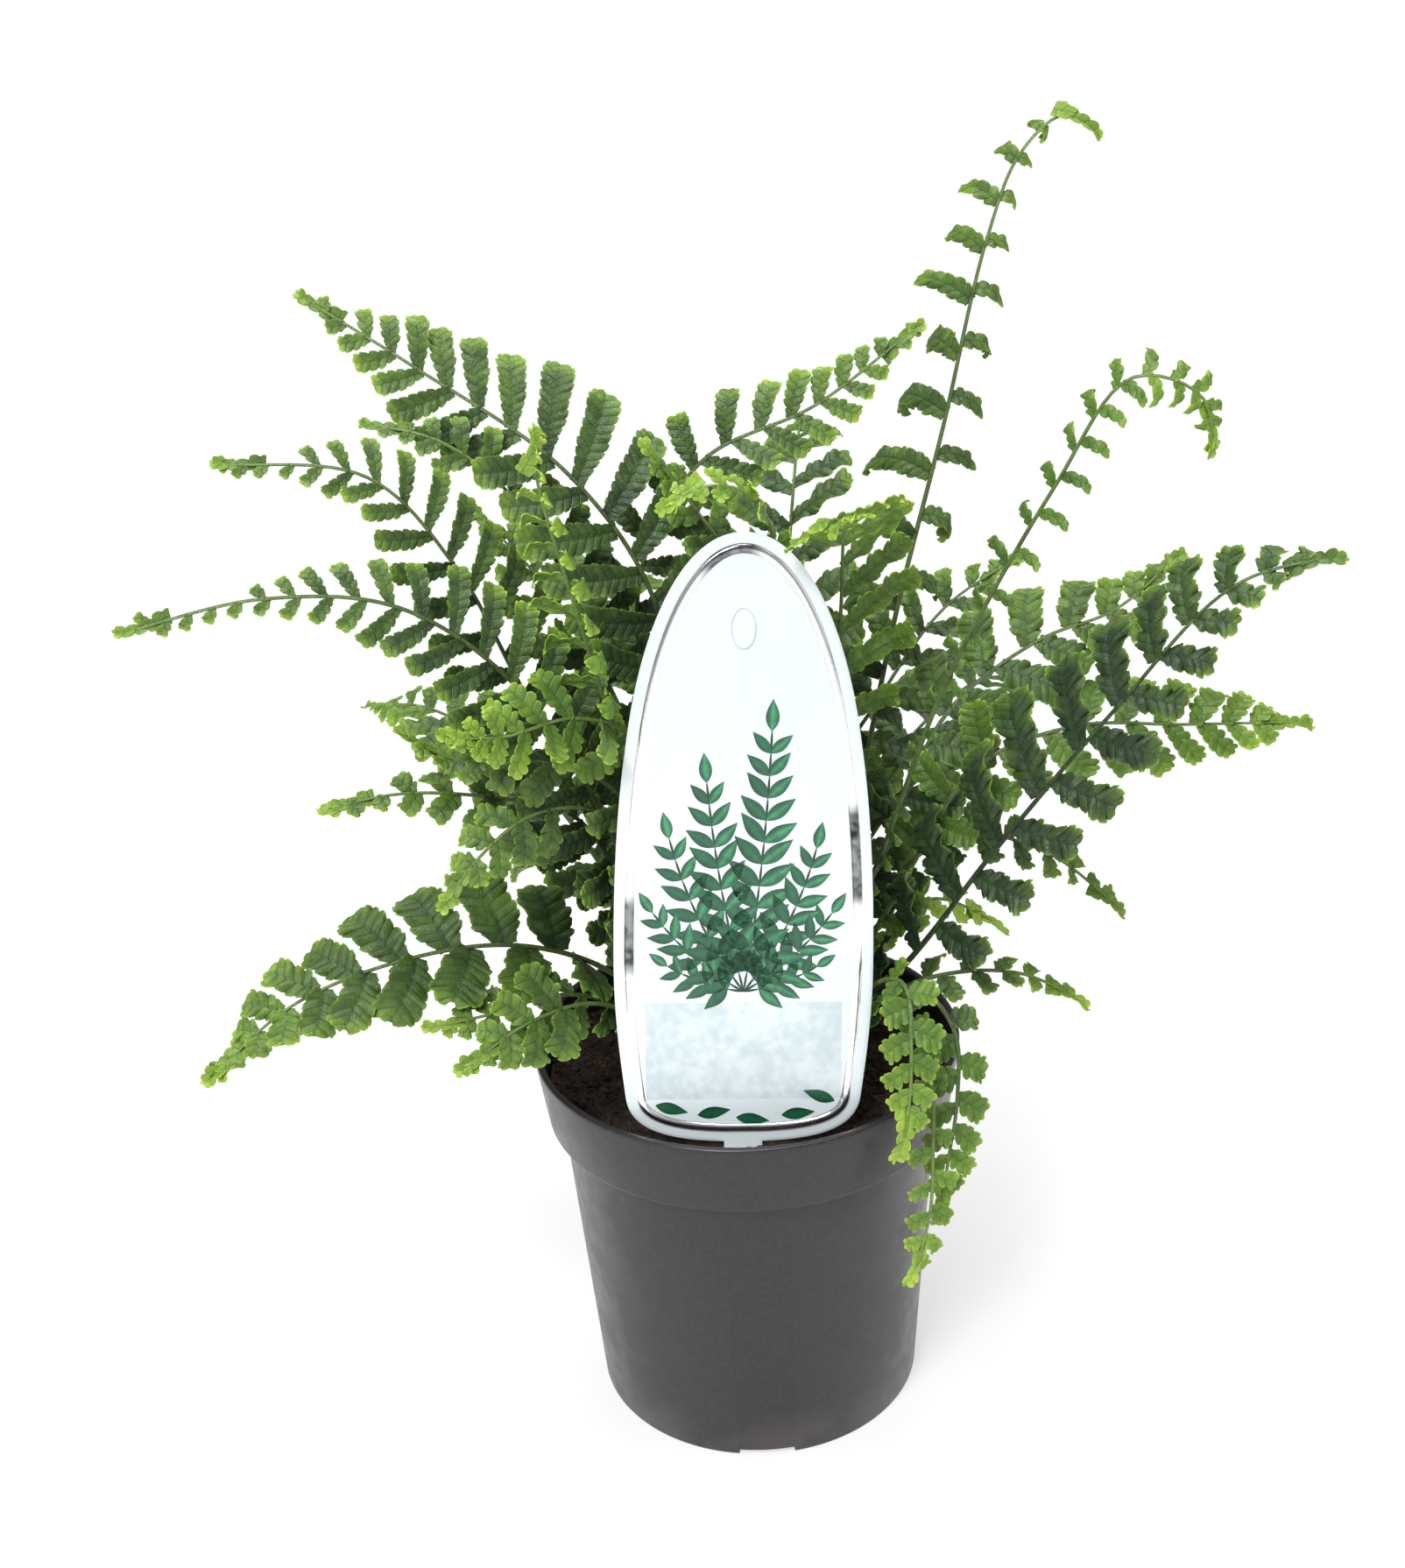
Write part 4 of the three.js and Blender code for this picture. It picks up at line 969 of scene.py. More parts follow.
@dataclass(frozen=True)
class Label:
    """Glossy plant tag with an arched top, a silver bead, a slot's tab still in place and a stake."""

    height: float = 175.5
    thickness: float = 0.9
    corner: tuple[float, float] = (33.5, 14.0)
    belly: tuple[float, float] = (36.3, 57.0)
    shoulder: tuple[float, float] = (32.0, 118.0)
    foot: tuple[float, float, float] = (-3.0, -46.0, 110.9)
    lean: float = 7.5
    slant: float = -2.6
    tab_width: float = 6.5
    tab_height: float = 11.0
    tab_down: float = 26.0
    stake_width: float = 11.0
    stake_length: float = 27.0
    stake_point: float = 9.0
    gap: float = 0.3
    rim: float = 3.1
    bead_width: float = 2.4
    bead_height: float = 0.6
    print_lift: float = 0.05

    def turn(self) -> Array:
        """Rotation of the tag's own frame, across, up and out of its face, into the model's."""
        a, b = (90 - self.lean) * DEG, self.slant * DEG
        about_x = np.array([[1, 0, 0], [0, math.cos(a), -math.sin(a)], [0, math.sin(a), math.cos(a)]])
        about_z = np.array([[math.cos(b), -math.sin(b), 0], [math.sin(b), math.cos(b), 0], [0, 0, 1]])
        return about_x @ about_z

    def placed(self, points: Array) -> Array:
        """Points of the tag's frame in the model's."""
        return points @ self.turn().T + np.array(self.foot)

    def local(self, points: Array) -> Array:
        """Points of the model's frame in the tag's."""
        return (points - np.array(self.foot)) @ self.turn()

    def half_width(self, height: Array) -> Array:
        """Half of the tag's width at a height above its lower edge."""
        arch = (height - self.shoulder[1]) / (self.height - self.shoulder[1])
        return np.where(arch < 0, self.belly[0], self.shoulder[0] * np.sqrt(np.maximum(0, 1 - arch * arch)))

    def mirrored(self, right: Array) -> Array:
        """A closed loop from its right half, whose first and last points lie on the middle line."""
        left = right[-2:0:-1] * np.array([-1, 1])
        return np.concatenate([right, left])

    def outlines(self) -> tuple[Array, Array]:
        """The outline with the stake, and the plate's alone, point for point."""
        (cx, cy), (bx, by), (sx, sy) = self.corner, self.belly, self.shoulder
        half, top = self.stake_width / 2, self.height
        side = np.concatenate([
            handled_arc([[half, 0], [0.6 * cx, 0.5], [cx - 1, 3], [cx, cy]], 22),
            handled_arc([[cx, cy], [cx + 1.7, 28], [bx + 0.3, 42], [bx, by]], 12),
            handled_arc([[bx, by], [bx - 0.3, 80], [sx + 2.8, 100], [sx, sy]], 14),
            handled_arc([[sx, sy], [sx - 4, 148], [17, top], [0, top]], 34),
            [[0, top]],
        ])
        tip = self.stake_length
        stake = np.array([
            [0, -tip], [half / 2, self.stake_point / 2 - tip], [half, self.stake_point - tip],
            [half, -tip / 2], [half, -tip / 4], [half, -0.4],
        ])
        base = np.stack([np.linspace(0, half * 0.94, len(stake)), np.zeros(len(stake))], -1)
        return self.mirrored(np.concatenate([stake, side])), self.mirrored(np.concatenate([base, side]))

    def inset(self, loop: Array, distance: float) -> Array:
        """A loop moved inwards along its normals, which are the neighbours' chord turned by 90°."""
        chord = unit(np.roll(loop, -1, 0) - np.roll(loop, 1, 0))
        return loop + distance * np.stack([-chord[:, 1], chord[:, 0]], -1)

    def build(self, material: bpy.types.Material) -> bpy.types.Object:
        """Loops from the middle of the tab out over the face, round the edge and back in behind.

        Every loop has the same number of points, so that they make one grid with a small cap at each end:
        the tab's ellipse with its cut line, the plate's outline moved inwards, the bead as half a circle,
        the rim, and the outline.
        """
        outline, plate = self.outlines()
        face = self.thickness / 2
        centre = np.array([0, self.height - self.tab_down])
        to = np.arctan2(*((plate - centre) / np.array([self.tab_width, self.tab_height])).T[::-1])
        tab = 0.5 * np.stack([self.tab_width * np.cos(to), self.tab_height * np.sin(to)], -1)
        inner, around = self.inset(plate, self.rim + self.bead_width + 0.3), centre + 1.3 * tab
        loops: list[tuple[Array, float, float]] = []
        for size, lift in ((0.05, 0.4), (0.5, 0.4), (0.85, 0.34), (0.96, 0.2), (0.985, -0.2), (1.03, -0.2),
                           (1.05, 0.12), (1.14, 0.14), (1.3, 0.0)):
            loops.append((centre + size * tab, face + lift, 0.0))
        for share in (0.2, 0.45, 0.75, 1.0):
            loops.append((lerp(around, inner, share), face, 0.0))
        for share in np.linspace(0, 1, 9):
            angle = math.pi * share
            away = self.rim + self.bead_width * (0.5 + 0.5 * math.cos(angle))
            loops.append((self.inset(plate, away), face + self.bead_height * math.sin(angle), 1.0))
        loops += [
            (self.inset(plate, self.rim - 0.3), face, 0.0),
            (self.inset(plate, 1.2), face, 0.0),
            (self.inset(outline, 0.25), face, 0.0),
            (outline, face - 0.2, 0.0),
            (outline, 0.2 - face, 0.0),
            (self.inset(outline, 0.25), -face, 0.0),
            (self.inset(plate, 1.2), -face, 0.0),
            (lerp(around, inner, 0.5), -face, 0.0),
            (centre + 0.05 * tab, -face, 0.0),
        ]
        flat = np.stack([loop for loop, _, _ in loops])
        lift = np.broadcast_to(np.array([z for _, z, _ in loops])[:, None, None], (*flat.shape[:2], 1))
        silver = np.broadcast_to(np.array([s for _, _, s in loops])[:, None], flat.shape[:2])
        points = self.placed(np.concatenate([flat, lift], -1))
        skin = Skin("silver")
        skin.add(points, tube_faces(*flat.shape[:2]), place=flat / 100, silver=silver)
        piece = skin.piece("plant_label", material, crease=40)
        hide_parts("label")
        return piece

    def slot_cutter(self) -> bpy.types.Object:
        """The slot that the stake stands in, with its clearance in the soil."""
        half, tip = self.stake_width / 2 + self.gap, self.stake_length
        edge = [[0, 8], [half, 8], [half, self.stake_point - tip - self.gap], [0, -tip - 2 * self.gap]]
        loop = self.mirrored(np.array(edge, float))
        depth = self.thickness / 2 + self.gap
        level = np.ones((len(loop), 1)) * depth
        points = np.stack([np.hstack([loop, -level]), np.hstack([loop, level])])
        skin = Skin("chip")
        skin.add(self.placed(points), tube_faces(2, len(loop)))
        return skin.piece("slot_cutter", bpy.data.materials.new("unused"))

    def build_print(self, material: bpy.types.Material) -> bpy.types.Object:
        """A posy of plain sprigs, printed on the face, and small leaves along its lower edge."""
        skin = Skin("light")
        posy = (
            (-80, 23, 26, 4, 9.0), (80, 22, -24, 4, 9.0), (-58, 35, 26, 6, 10.0), (57, 34, -24, 6, 10.0),
            (-34, 50, 22, 7, 11.0), (36, 47, -24, 7, 11.0), (-13, 62, 8, 9, 12.0), (9, 76, -7, 11, 12.5),
        )
        for bearing, length, bend, pairs, size in posy:
            self.add_sprig(skin, (0, 46), bearing, length, bend, pairs, size)
        border = ((-25, 11.5, 104), (-13, 8.4, 80), (-2, 7.6, 97), (11, 8.2, 84), (26, 12.5, -70))
        for x, y, bearing in border:
            self.add_leaf(skin, (x, y), bearing, 9.5, 3.6, 0.5, 1)
        piece = skin.piece("label_print", material)
        return piece

    def add_sprig(
        self, skin: Skin, foot: tuple[float, float], bearing: float, length: float, bend: float, pairs: int,
        size: float,
    ) -> None:
        """Adds one printed sprig: its stem is a row of slim leaves, and broad leaves stand off it in pairs.

        Args:
            skin: Where it goes.
            foot: Where it starts, across and up on the tag.
            bearing: The way it sets out, in degrees clockwise from upright.
            length: Along its stem.
            bend: How many degrees it turns on its way.
            pairs: How many pairs of leaves it has, besides the one at its tip.
            size: Length of its longest leaf.
        """
        t = np.linspace(0, 1, pairs + 2)
        way = (bearing + bend * t) * DEG
        step = length / (pairs + 1)
        x = foot[0] + step * np.concatenate([[0], np.cumsum(np.sin(way[:-1]))])
        y = foot[1] + step * np.concatenate([[0], np.cumsum(np.cos(way[:-1]))])
        for k, (px, py, angle) in enumerate(zip(x, y, way / DEG)):
            self.add_leaf(skin, (px, py), angle, step * 1.15, 0.7, 0.1, 0)
            if 0 < k <= pairs:
                grown = size * (1 - 0.45 * t[k] ** 2)
                for side in (-1, 1):
                    tilt = angle + side * (58 - 18 * t[k] + 7 * wobble(k, side + 1, length))
                    self.add_leaf(skin, (px, py), tilt, grown, 0.4 * grown, 0.7 + 0.15 * side, 1 + k % 3)
        self.add_leaf(skin, (x[-1], y[-1]), way[-1] / DEG, 0.7 * size, 0.3 * size, 0.9, 2)

    def add_leaf(
        self, skin: Skin, foot: tuple[float, float], bearing: float, length: float, width: float,
        shade: float, layer: int,
    ) -> None:
        """Adds one printed leaf: half width sin(pi u^0.8) from foot to tip, a shade for each half.

        Args:
            skin: Where it goes.
            foot: Where it starts, across and up on the tag.
            bearing: The way it points, in degrees clockwise from upright.
            length: From its foot to its point.
            width: Across its broadest part.
            shade: How light it is.
            layer: Later layers lie over earlier ones.
        """
        u = np.linspace(0.0, 1.0, 11)[:, None]
        v = np.array([-1.0, -0.12, 0.12, 1.0])[None]
        half = 0.5 * width * np.sin(math.pi * np.clip(u, 0.01, 0.99) ** 0.8)
        along, across = length * (u + 0 * v), half * v
        c, s = math.cos(bearing * DEG), math.sin(bearing * DEG)
        x, y = foot[0] + along * s + across * c, foot[1] + along * c - across * s
        face = self.thickness / 2
        upper = np.stack([x, y, np.full_like(x, face + self.print_lift * (1 + 0.5 * layer))], -1)
        lower = np.stack([x, y, np.full_like(x, face - 0.05)], -1)
        light = shade * np.where(np.abs(v) < 0.2, 1.0, np.where(v < 0, 0.15, 0.5)) + 0 * u
        both = np.concatenate([upper.reshape(-1, 3), lower.reshape(-1, 3)])
        faces = slab_faces(len(u), v.shape[1], flip=True)
        skin.add(self.placed(both), [faces], light=np.tile(light.ravel(), 2))


# Fronds

@dataclass(frozen=True)
class Cut:
    """How a leaflet is cut and creased. Shares are of its half width unless they say otherwise."""

    lobe: float = 2.7  # millimetres from lobe to lobe
    depth: float = 0.65  # how far lobes stand out, in millimetres
    saw: float = 0.6  # 1 for lobes that lean forwards, with teeth, and 0 for round ones
    foot: float = 0.52  # width at the foot
    rise: float = 0.5  # share of the length in which the foot widens
    waist: float = 1.0  # width in the middle
    fan: float = 0.12  # how much wider the tip is
    cap: float = 0.7  # length of the round tip
    widen: float = 1.05  # width, as a share of the plain solid's
    arch: float = -0.08  # how far the edges rise, below 0 where they turn down
    ruffle: float = 0.4  # height of the waves along the edge, in millimetres
    droop: float = 0.06  # how far the tip bends, as a share of the length
    edge_light: float = 0.1  # how much paler the edge is
    tip_pale_and_painted_light: float = 0.36  # how much paler the tip is: partly its own paler green, partly painted light shining through the leaf


class Habit(Enum):
    """The kinds of leaflet that the fronds bear."""

    STRAP = Cut()
    BROAD = Cut(lobe=3.1, depth=0.85, foot=0.5, rise=0.35, widen=1.12, arch=-0.22, ruffle=0.8, droop=0.12,
                tip_pale_and_painted_light=0.2)
    DARK = Cut(lobe=3.2, depth=1.05, saw=0.75, foot=0.5, rise=0.35, waist=0.9, fan=0.35, cap=0.6, widen=1.15,
               arch=-0.3, ruffle=1.0, droop=0.14, edge_light=0.3, tip_pale_and_painted_light=0.24)
    LOBED = Cut(lobe=3.0, depth=1.0, saw=0.25, foot=0.5, rise=0.4, fan=0.05, widen=1.05, tip_pale_and_painted_light=0.22)
    CURLED = Cut(lobe=3.0, depth=0.8, saw=0.3, foot=0.6, rise=0.25, fan=0.0, cap=1.0, widen=0.95, arch=-0.35,
                 ruffle=0.8, droop=0.24, tip_pale_and_painted_light=0.22)
    BEHIND = Cut(lobe=3.4, depth=0.7, ruffle=0.8, arch=-0.2, tip_pale_and_painted_light=0.3)
    END = Cut(lobe=3.2, depth=0.95, saw=0.35, foot=0.9, rise=0.01, waist=0.6, fan=0.3, cap=1.1, widen=1.0,
              arch=0.1, ruffle=0.6, edge_light=0.1, tip_pale_and_painted_light=0.25)


@dataclass(frozen=True)
class Frond:
    """One frond: where it stands, the points that its stalk passes, and its blade."""

    name: str
    seat: tuple[int, int]  # ring and place on the crown
    via: Sequence[Sequence[float]]
    pairs: int  # leaflets on each side
    span: float  # longest leaflet
    bare: float  # share of the stalk with none
    roll: float  # degrees that the blade is turned about its stalk
    lift: float  # degrees that leaflets rise
    curl: float  # degrees that a leaflet bends down along its length
    broad: float  # leaflet width, 1 is usual
    taper: float  # how early the blade narrows
    habit: Habit
    tone: float  # 0 for the darkest green, 1 for the palest
    young: bool = False
    sweep: float = 0.1  # how far leaflets bend towards the frond's tip
    crowding: float = 0.5  # how much closer leaflets stand towards the tip
    right: float = 1.0  # length of the right-hand leaflets as a share of the left-hand ones'


# Each row: name, seat and points, then pairs, span, bare, roll, lift, curl, broad, taper, habit and tone.
S, B, D, L, C, K = Habit.STRAP, Habit.BROAD, Habit.DARK, Habit.LOBED, Habit.CURLED, Habit.BEHIND
FRONDS = (
    Frond("frond_left_high", (0, 3), [[-17, 6, 190], [-20, 5, 257], [-42, 10, 294], [-84, 19, 325],
        [-115, 26, 345]],
        16, 28, 0.3, 60, 10, 16, 1, 0.95, S, 0.16),
    Frond("frond_left_crested", (1, 6), [[-38, 0, 180], [-60, -4, 240], [-74, -9, 276], [-94, -13, 302],
        [-135, -18, 309]],
        16, 25, 0.3, 55, 12, 22, 0.78, 1.2, S, 0.16),
    Frond("frond_left_between", (1, 5), [[-28, 6, 190], [-39, 4, 250], [-57, 5, 289], [-76, 6, 306],
        [-99, 8, 312]],
        12, 20, 0.42, 45, 12, 20, 0.9, 1, S, 0.14),
    Frond("frond_left_long", (1, 7), [[-30, -14, 180], [-56, -22, 241], [-86, -31, 271],
        [-120, -39, 278], [-158, -48, 273]],
        19, 24, 0.28, 62, 10, 18, 0.85, 1.7, S, 0.2),
    Frond("frond_left_young", (0, 4), [[-18, -10, 180], [-31, -14, 220], [-40, -33, 268],
        [-46, -56, 316], [-43, -60, 325]],
        12, 14, 0.34, 0, 4, 60, 1, 0.8, C, 0.4, True),
    Frond("frond_left_pale", (1, 9), [[-12, -18, 180], [-27, -21, 226], [-42, -32, 238],
        [-61, -48, 240], [-76, -61, 246]],
        10, 17, 0.5, 60, 8, 12, 1.15, 0.8, L, 0.36, True),
    Frond("frond_left_under", (1, 8), [[-23, -17, 172], [-34, -22, 212], [-55, -29, 225],
        [-75, -33, 228], [-91, -36, 239]],
        8, 16, 0.45, 20, 10, 18, 1.1, 0.9, B, 0.2),
    Frond("frond_left_forked", (2, 10), [[-32, -9, 168], [-46, -18, 203], [-67, -25, 213],
        [-92, -33, 219], [-113, -40, 218]],
        9, 18, 0.3, 30, 12, 24, 1.2, 1.1, B, 0.22),
    Frond("frond_left_drop", (2, 12), [[-24, -21, 170], [-37, -24, 205], [-56, -41, 214],
        [-72, -55, 206], [-80, -61, 196]],
        8, 14, 0.45, 50, 6, 16, 1.1, 0.8, B, 0.26),
    Frond("frond_left_arching", (2, 9), [[-38, -8, 146], [-64, -22, 165], [-92, -33, 169],
        [-125, -48, 164], [-149, -60, 148]],
        9, 22, 0.26, 38, 16, 14, 1.8, 0.95, B, 0.26),
    Frond("frond_left_low_thin", (2, 11), [[-38, -25, 146], [-54, -36, 156], [-72, -45, 156],
        [-91, -52, 156]],
        7, 14, 0.38, 42, 8, 14, 0.9, 0.9, B, 0.3),
    Frond("frond_left_low_broad", (2, 13), [[-26, -27, 138], [-42, -35, 152], [-60, -52, 157],
        [-79, -67, 151]],
        6, 16, 0.34, 48, 6, 14, 1.5, 0.8, B, 0.3),
    Frond("frond_top_right", (0, 2), [[-22, 18, 200], [-24, 18, 262], [-5, 21, 293], [28, 27, 306],
        [60, 34, 327]],
        14, 16, 0.44, -58, 8, 16, 1, 0.8, S, 0.24),
    Frond("frond_top_hooked", (0, 5), [[9, -11, 190], [16, -12, 262], [7, -18, 293], [-6, -22, 297],
        [-18, -26, 291]],
        11, 10, 0.5, 40, 8, 14, 1, 0.7, L, 0.4, True),
    Frond("frond_top_left_small", (0, 1), [[4, 3, 200], [3, 1, 265], [-8, 0, 286], [-22, -2, 306]],
        8, 14, 0.5, 55, 8, 16, 1, 0.8, B, 0.2),
    Frond("frond_top_front", (0, 0), [[22, 0, 180], [31, -4, 250], [31, -26, 284], [31, -52, 296]],
        10, 24, 0.42, 0, 10, 20, 0.78, 0.6, B, 0.34, True),
    Frond("frond_tall", (1, 0), [[34, 12, 180], [49, 16, 247], [63, 19, 300], [75, 21, 350],
        [84, 22, 372], [96, 24, 381], [107, 24, 375]],
        13, 24, 0.3, -62, 10, 80, 1.1, 1, C, 0.26, sweep=-0.5, right=0.5),
    Frond("frond_hooked", (1, 10), [[38, -18, 180], [58, -25, 240], [85, -32, 295], [103, -36, 323],
        [120, -38, 318], [124, -40, 301]],
        16, 9, 0.4, -48, 10, 40, 0.8, 0.4, C, 0.26, True, sweep=-0.3, crowding=0.8, right=0.8),
    Frond("frond_right_large", (1, 11), [[44, -18, 147], [72, -29, 192], [102, -37, 235],
        [130, -44, 270], [156, -50, 279]],
        11, 28, 0.22, -60, 8, 18, 1.2, 0.9, D, 0.0, right=0.68),
    Frond("frond_right_behind", (2, 1), [[44, 6, 176], [63, 9, 218], [90, 16, 236], [114, 21, 243],
        [134, 26, 258]],
        9, 20, 0.35, -52, 8, 16, 1.3, 0.8, B, 0.26),
    Frond("frond_right_pale", (2, 0), [[48, -4, 170], [70, -4, 206], [98, -2, 216], [130, 0, 214],
        [168, 2, 212]],
        11, 17, 0.34, -45, 6, 14, 1.35, 0.7, L, 0.34, True),
    Frond("frond_right_thin", (2, 2), [[44, 12, 160], [66, 8, 179], [92, 8, 172], [118, 8, 149]],
        8, 10, 0.35, -40, 6, 18, 1.1, 1, B, 0.28),
    Frond("frond_right_low", (2, 17), [[34, -10, 129], [54, -14, 143], [80, -15, 144], [103, -14, 131]],
        7, 9, 0.3, -20, 8, 18, 1.1, 1.1, B, 0.34),
    Frond("frond_right_yellow", (2, 3), [[40, 17, 142], [60, 18, 153], [84, 19, 140]],
        6, 10, 0.36, -20, 6, 16, 1.2, 0.8, L, 0.8, True),
    Frond("frond_hanging_short", (2, 14), [[26, -29, 142], [40, -40, 158], [44, -51, 160],
        [44, -59, 150], [43, -64, 134], [40, -67, 116]],
        7, 7.5, 0.5, -35, 4, 8, 1.8, 0.5, L, 0.42, True),
    Frond("frond_hanging_broad", (2, 16), [[38, -25, 138], [51, -34, 149], [58, -44, 142],
        [58, -50, 124], [55, -53, 105], [52, -56, 86]],
        7, 8.5, 0.5, -38, 4, 10, 1.7, 0.6, L, 0.32, True),
    Frond("frond_hanging_long", (2, 15), [[32, -28, 142], [44, -44, 150], [50, -53, 134],
        [50, -58, 110], [49, -60, 93], [46, -62, 81], [42, -64, 70]],
        5, 7, 0.65, -28, 4, 20, 1.1, 0.6, L, 0.5, True),
    Frond("frond_back_left_upper", (1, 4), [[-22, 22, 180], [-37, 32, 226], [-56, 42, 256], [-76, 52, 276]],
        9, 24, 0.28, 35, 10, 18, 1, 0.9, K, 0.2),
    Frond("frond_back_right_upper", (1, 1), [[22, 22, 180], [44, 33, 212], [66, 43, 238], [92, 52, 252]],
        9, 22, 0.28, -35, 10, 18, 1, 0.9, K, 0.2),
    Frond("frond_back_right_inner", (2, 4), [[36, 30, 160], [56, 36, 184], [84, 44, 196]],
        7, 18, 0.3, -30, 8, 16, 1.1, 0.9, K, 0.26),
    Frond("frond_back_tall", (1, 2), [[12, 34, 190], [20, 60, 246], [26, 92, 278], [30, 126, 280]],
        11, 28, 0.28, 8, 10, 20, 1, 0.95, K, 0.16),
    Frond("frond_back_middle", (1, 3), [[-12, 36, 164], [-22, 68, 208], [-32, 106, 230], [-40, 144, 226]],
        11, 27, 0.28, -6, 10, 20, 1, 0.95, K, 0.24),
    Frond("frond_back_right", (2, 5), [[30, 38, 150], [54, 68, 180], [82, 98, 192], [108, 128, 184]],
        10, 26, 0.27, -10, 12, 18, 1.05, 0.95, K, 0.2),
    Frond("frond_back_left", (2, 8), [[-36, 28, 152], [-64, 54, 186], [-96, 80, 200], [-124, 104, 194]],
        10, 26, 0.27, 10, 12, 18, 1.05, 0.95, K, 0.26),
    Frond("frond_back_low", (2, 6), [[2, 44, 138], [4, 78, 148], [6, 110, 136], [8, 134, 112]],
        8, 21, 0.3, 0, 8, 16, 1.15, 0.9, K, 0.32),
    Frond("frond_back_left_low", (2, 7), [[-24, 42, 142], [-46, 72, 150], [-66, 98, 138], [-80, 116, 120]],
        8, 19, 0.3, 6, 8, 16, 1.15, 0.9, K, 0.32),
)


@dataclass
class Frames:
    """Points along a stalk and, at each, the way along it, out to its right side and up from its blade."""

    at: Array
    along: Array
    right: Array
    up: Array

    def only(self, index: int) -> "Frames":
        """The frame of one of the points."""
        return Frames(self.at[index], self.along[index], self.right[index], self.up[index])


class Stalk:
    """The line that a frond's stalk follows: a smooth curve that passes through all of its points."""

    BASE_WIDTH, TIP_WIDTH = 2.5, 0.8
    BASE_DEPTH, TIP_DEPTH = 2.0, 0.8
    STEPS, TRIM = 200, 7.0

    def __init__(self, frond: Frond, crown: Crown) -> None:
        """Works out the curve's points, its length and the level direction across it."""
        points = np.vstack([crown.seat(*frond.seat), np.array(frond.via, float)])
        self.spans = len(points) - 1
        before, after = 2 * points[0] - points[1], 2 * points[-1] - points[-2]
        self.knots = np.vstack([before, points, after])
        self.steps = np.linspace(0, 1, self.STEPS + 1)
        gaps = np.linalg.norm(np.diff(self.curve(self.steps), axis=0), axis=1)
        self.lengths = np.concatenate([[0], np.cumsum(gaps)])
        self.length = float(self.lengths[-1]) - self.TRIM
        reach = points[-1] - points[0]
        heading = math.atan2(reach[1], reach[0])
        self.level = np.array([math.sin(heading), -math.cos(heading), 0])
        self.roll = frond.roll * DEG

    def curve(self, t: Array) -> Array:
        """The curve's points, t from 0 to 1.

        Between its second and third knots each span is the cubic whose end slopes are those of the three
        chords about them, weighted by the fourth root of their squared lengths.
        """
        cell = np.minimum((t * self.spans).astype(int), self.spans - 1)
        w = (t * self.spans - cell)[:, None]
        a, b, c, d = (self.knots[cell + k] for k in range(4))
        root = [np.sum((q - p) ** 2, -1, keepdims=True) ** 0.25 for p, q in ((a, b), (b, c), (c, d))]
        start = (b - a) / root[0] - (c - a) / (root[0] + root[1]) + (c - b) / root[1]
        end = (c - b) / root[1] - (d - b) / (root[1] + root[2]) + (d - c) / root[2]
        start, end = start * root[1], end * root[1]
        square = 3 * (c - b) - 2 * start - end
        cube = 2 * (b - c) + start + end
        return b + start * w + square * w**2 + cube * w**3

    def frames(self, shares: Array) -> Frames:
        """Frames at shares of the stalk's length. The blade turns about the stalk as it leaves the crown."""
        shares = np.clip(np.atleast_1d(np.asarray(shares, float)), 0, 1)
        t = np.interp(shares * self.length, self.lengths, self.steps)
        ahead, behind = np.minimum(t + 1e-4, 1), np.maximum(t - 1e-4, 0)
        along = unit(self.curve(ahead) - self.curve(behind))
        side = unit(self.level - along * (along @ self.level)[:, None])
        up = np.cross(side, along)
        turn = (self.roll * np.clip(shares * 2.5, 0, 1))[:, None]
        right = side * np.cos(turn) + up * np.sin(turn)
        return Frames(self.curve(t), along, right, np.cross(right, along))

    def half_width(self, share: Array) -> Array:
        """Half of the stalk's width at a share of its length."""
        return lerp(self.BASE_WIDTH, self.TIP_WIDTH, np.power(share, 0.7)) / 2

    def half_depth(self, share: Array) -> Array:
        """Half of the stalk's depth at a share of its length."""
        return lerp(self.BASE_DEPTH, self.TIP_DEPTH, np.power(share, 0.7)) / 2


@dataclass
class Shape:
    """Sizes of one leaflet: millimetres and radians."""

    length: float
    half: float
    angle: float = 0.0
    lift: float = 0.0
    twist: float = 0.0
    curl: float = 10 * DEG
    offset: float = 0.0
    sweep: float = 0.1


class Leaflet:
    """A leaflet's surface: u runs from the stalk to its tip and v from -1 to 1 across it.

    The rib bends down as an arc of a circle, and the blade's halves fold up a little from it.
    """

    FOLD = 0.16

    def __init__(self, frame: Frames, hand: int, shape: Shape) -> None:
        """Turns the stalk's frame by the leaflet's angle, lift and twist."""
        out = frame.right * hand
        flat, back = turned_pair(frame.along, out, shape.angle)
        self.axis, level = turned_pair(flat, frame.up, shape.lift)
        self.across, self.normal = turned_pair(-back, level, shape.twist)
        self.origin = frame.at + out * shape.offset
        self.hand, self.length, self.half, self.curl = hand, shape.length, shape.half, shape.curl
        self.sweep = shape.sweep

    def normals(self, u: Array) -> Array:
        """The blade's upper side at shares of its length."""
        bend = (self.curl * u)[..., None]
        return self.normal * np.cos(bend) + self.axis * np.sin(bend)

    def at(self, u: Array, v: Array) -> Array:
        """Points of the blade."""
        bend = self.curl * u
        along = self.length * np.sin(bend) / self.curl
        down = self.length * (1 - np.cos(bend)) / self.curl
        across = v * self.half + self.sweep * self.length * u * u
        points = self.origin + self.axis * along[..., None] + self.across * across[..., None]
        points = points - self.normal * down[..., None]
        return points + self.normals(u) * (self.FOLD * self.half * v * v)[..., None]


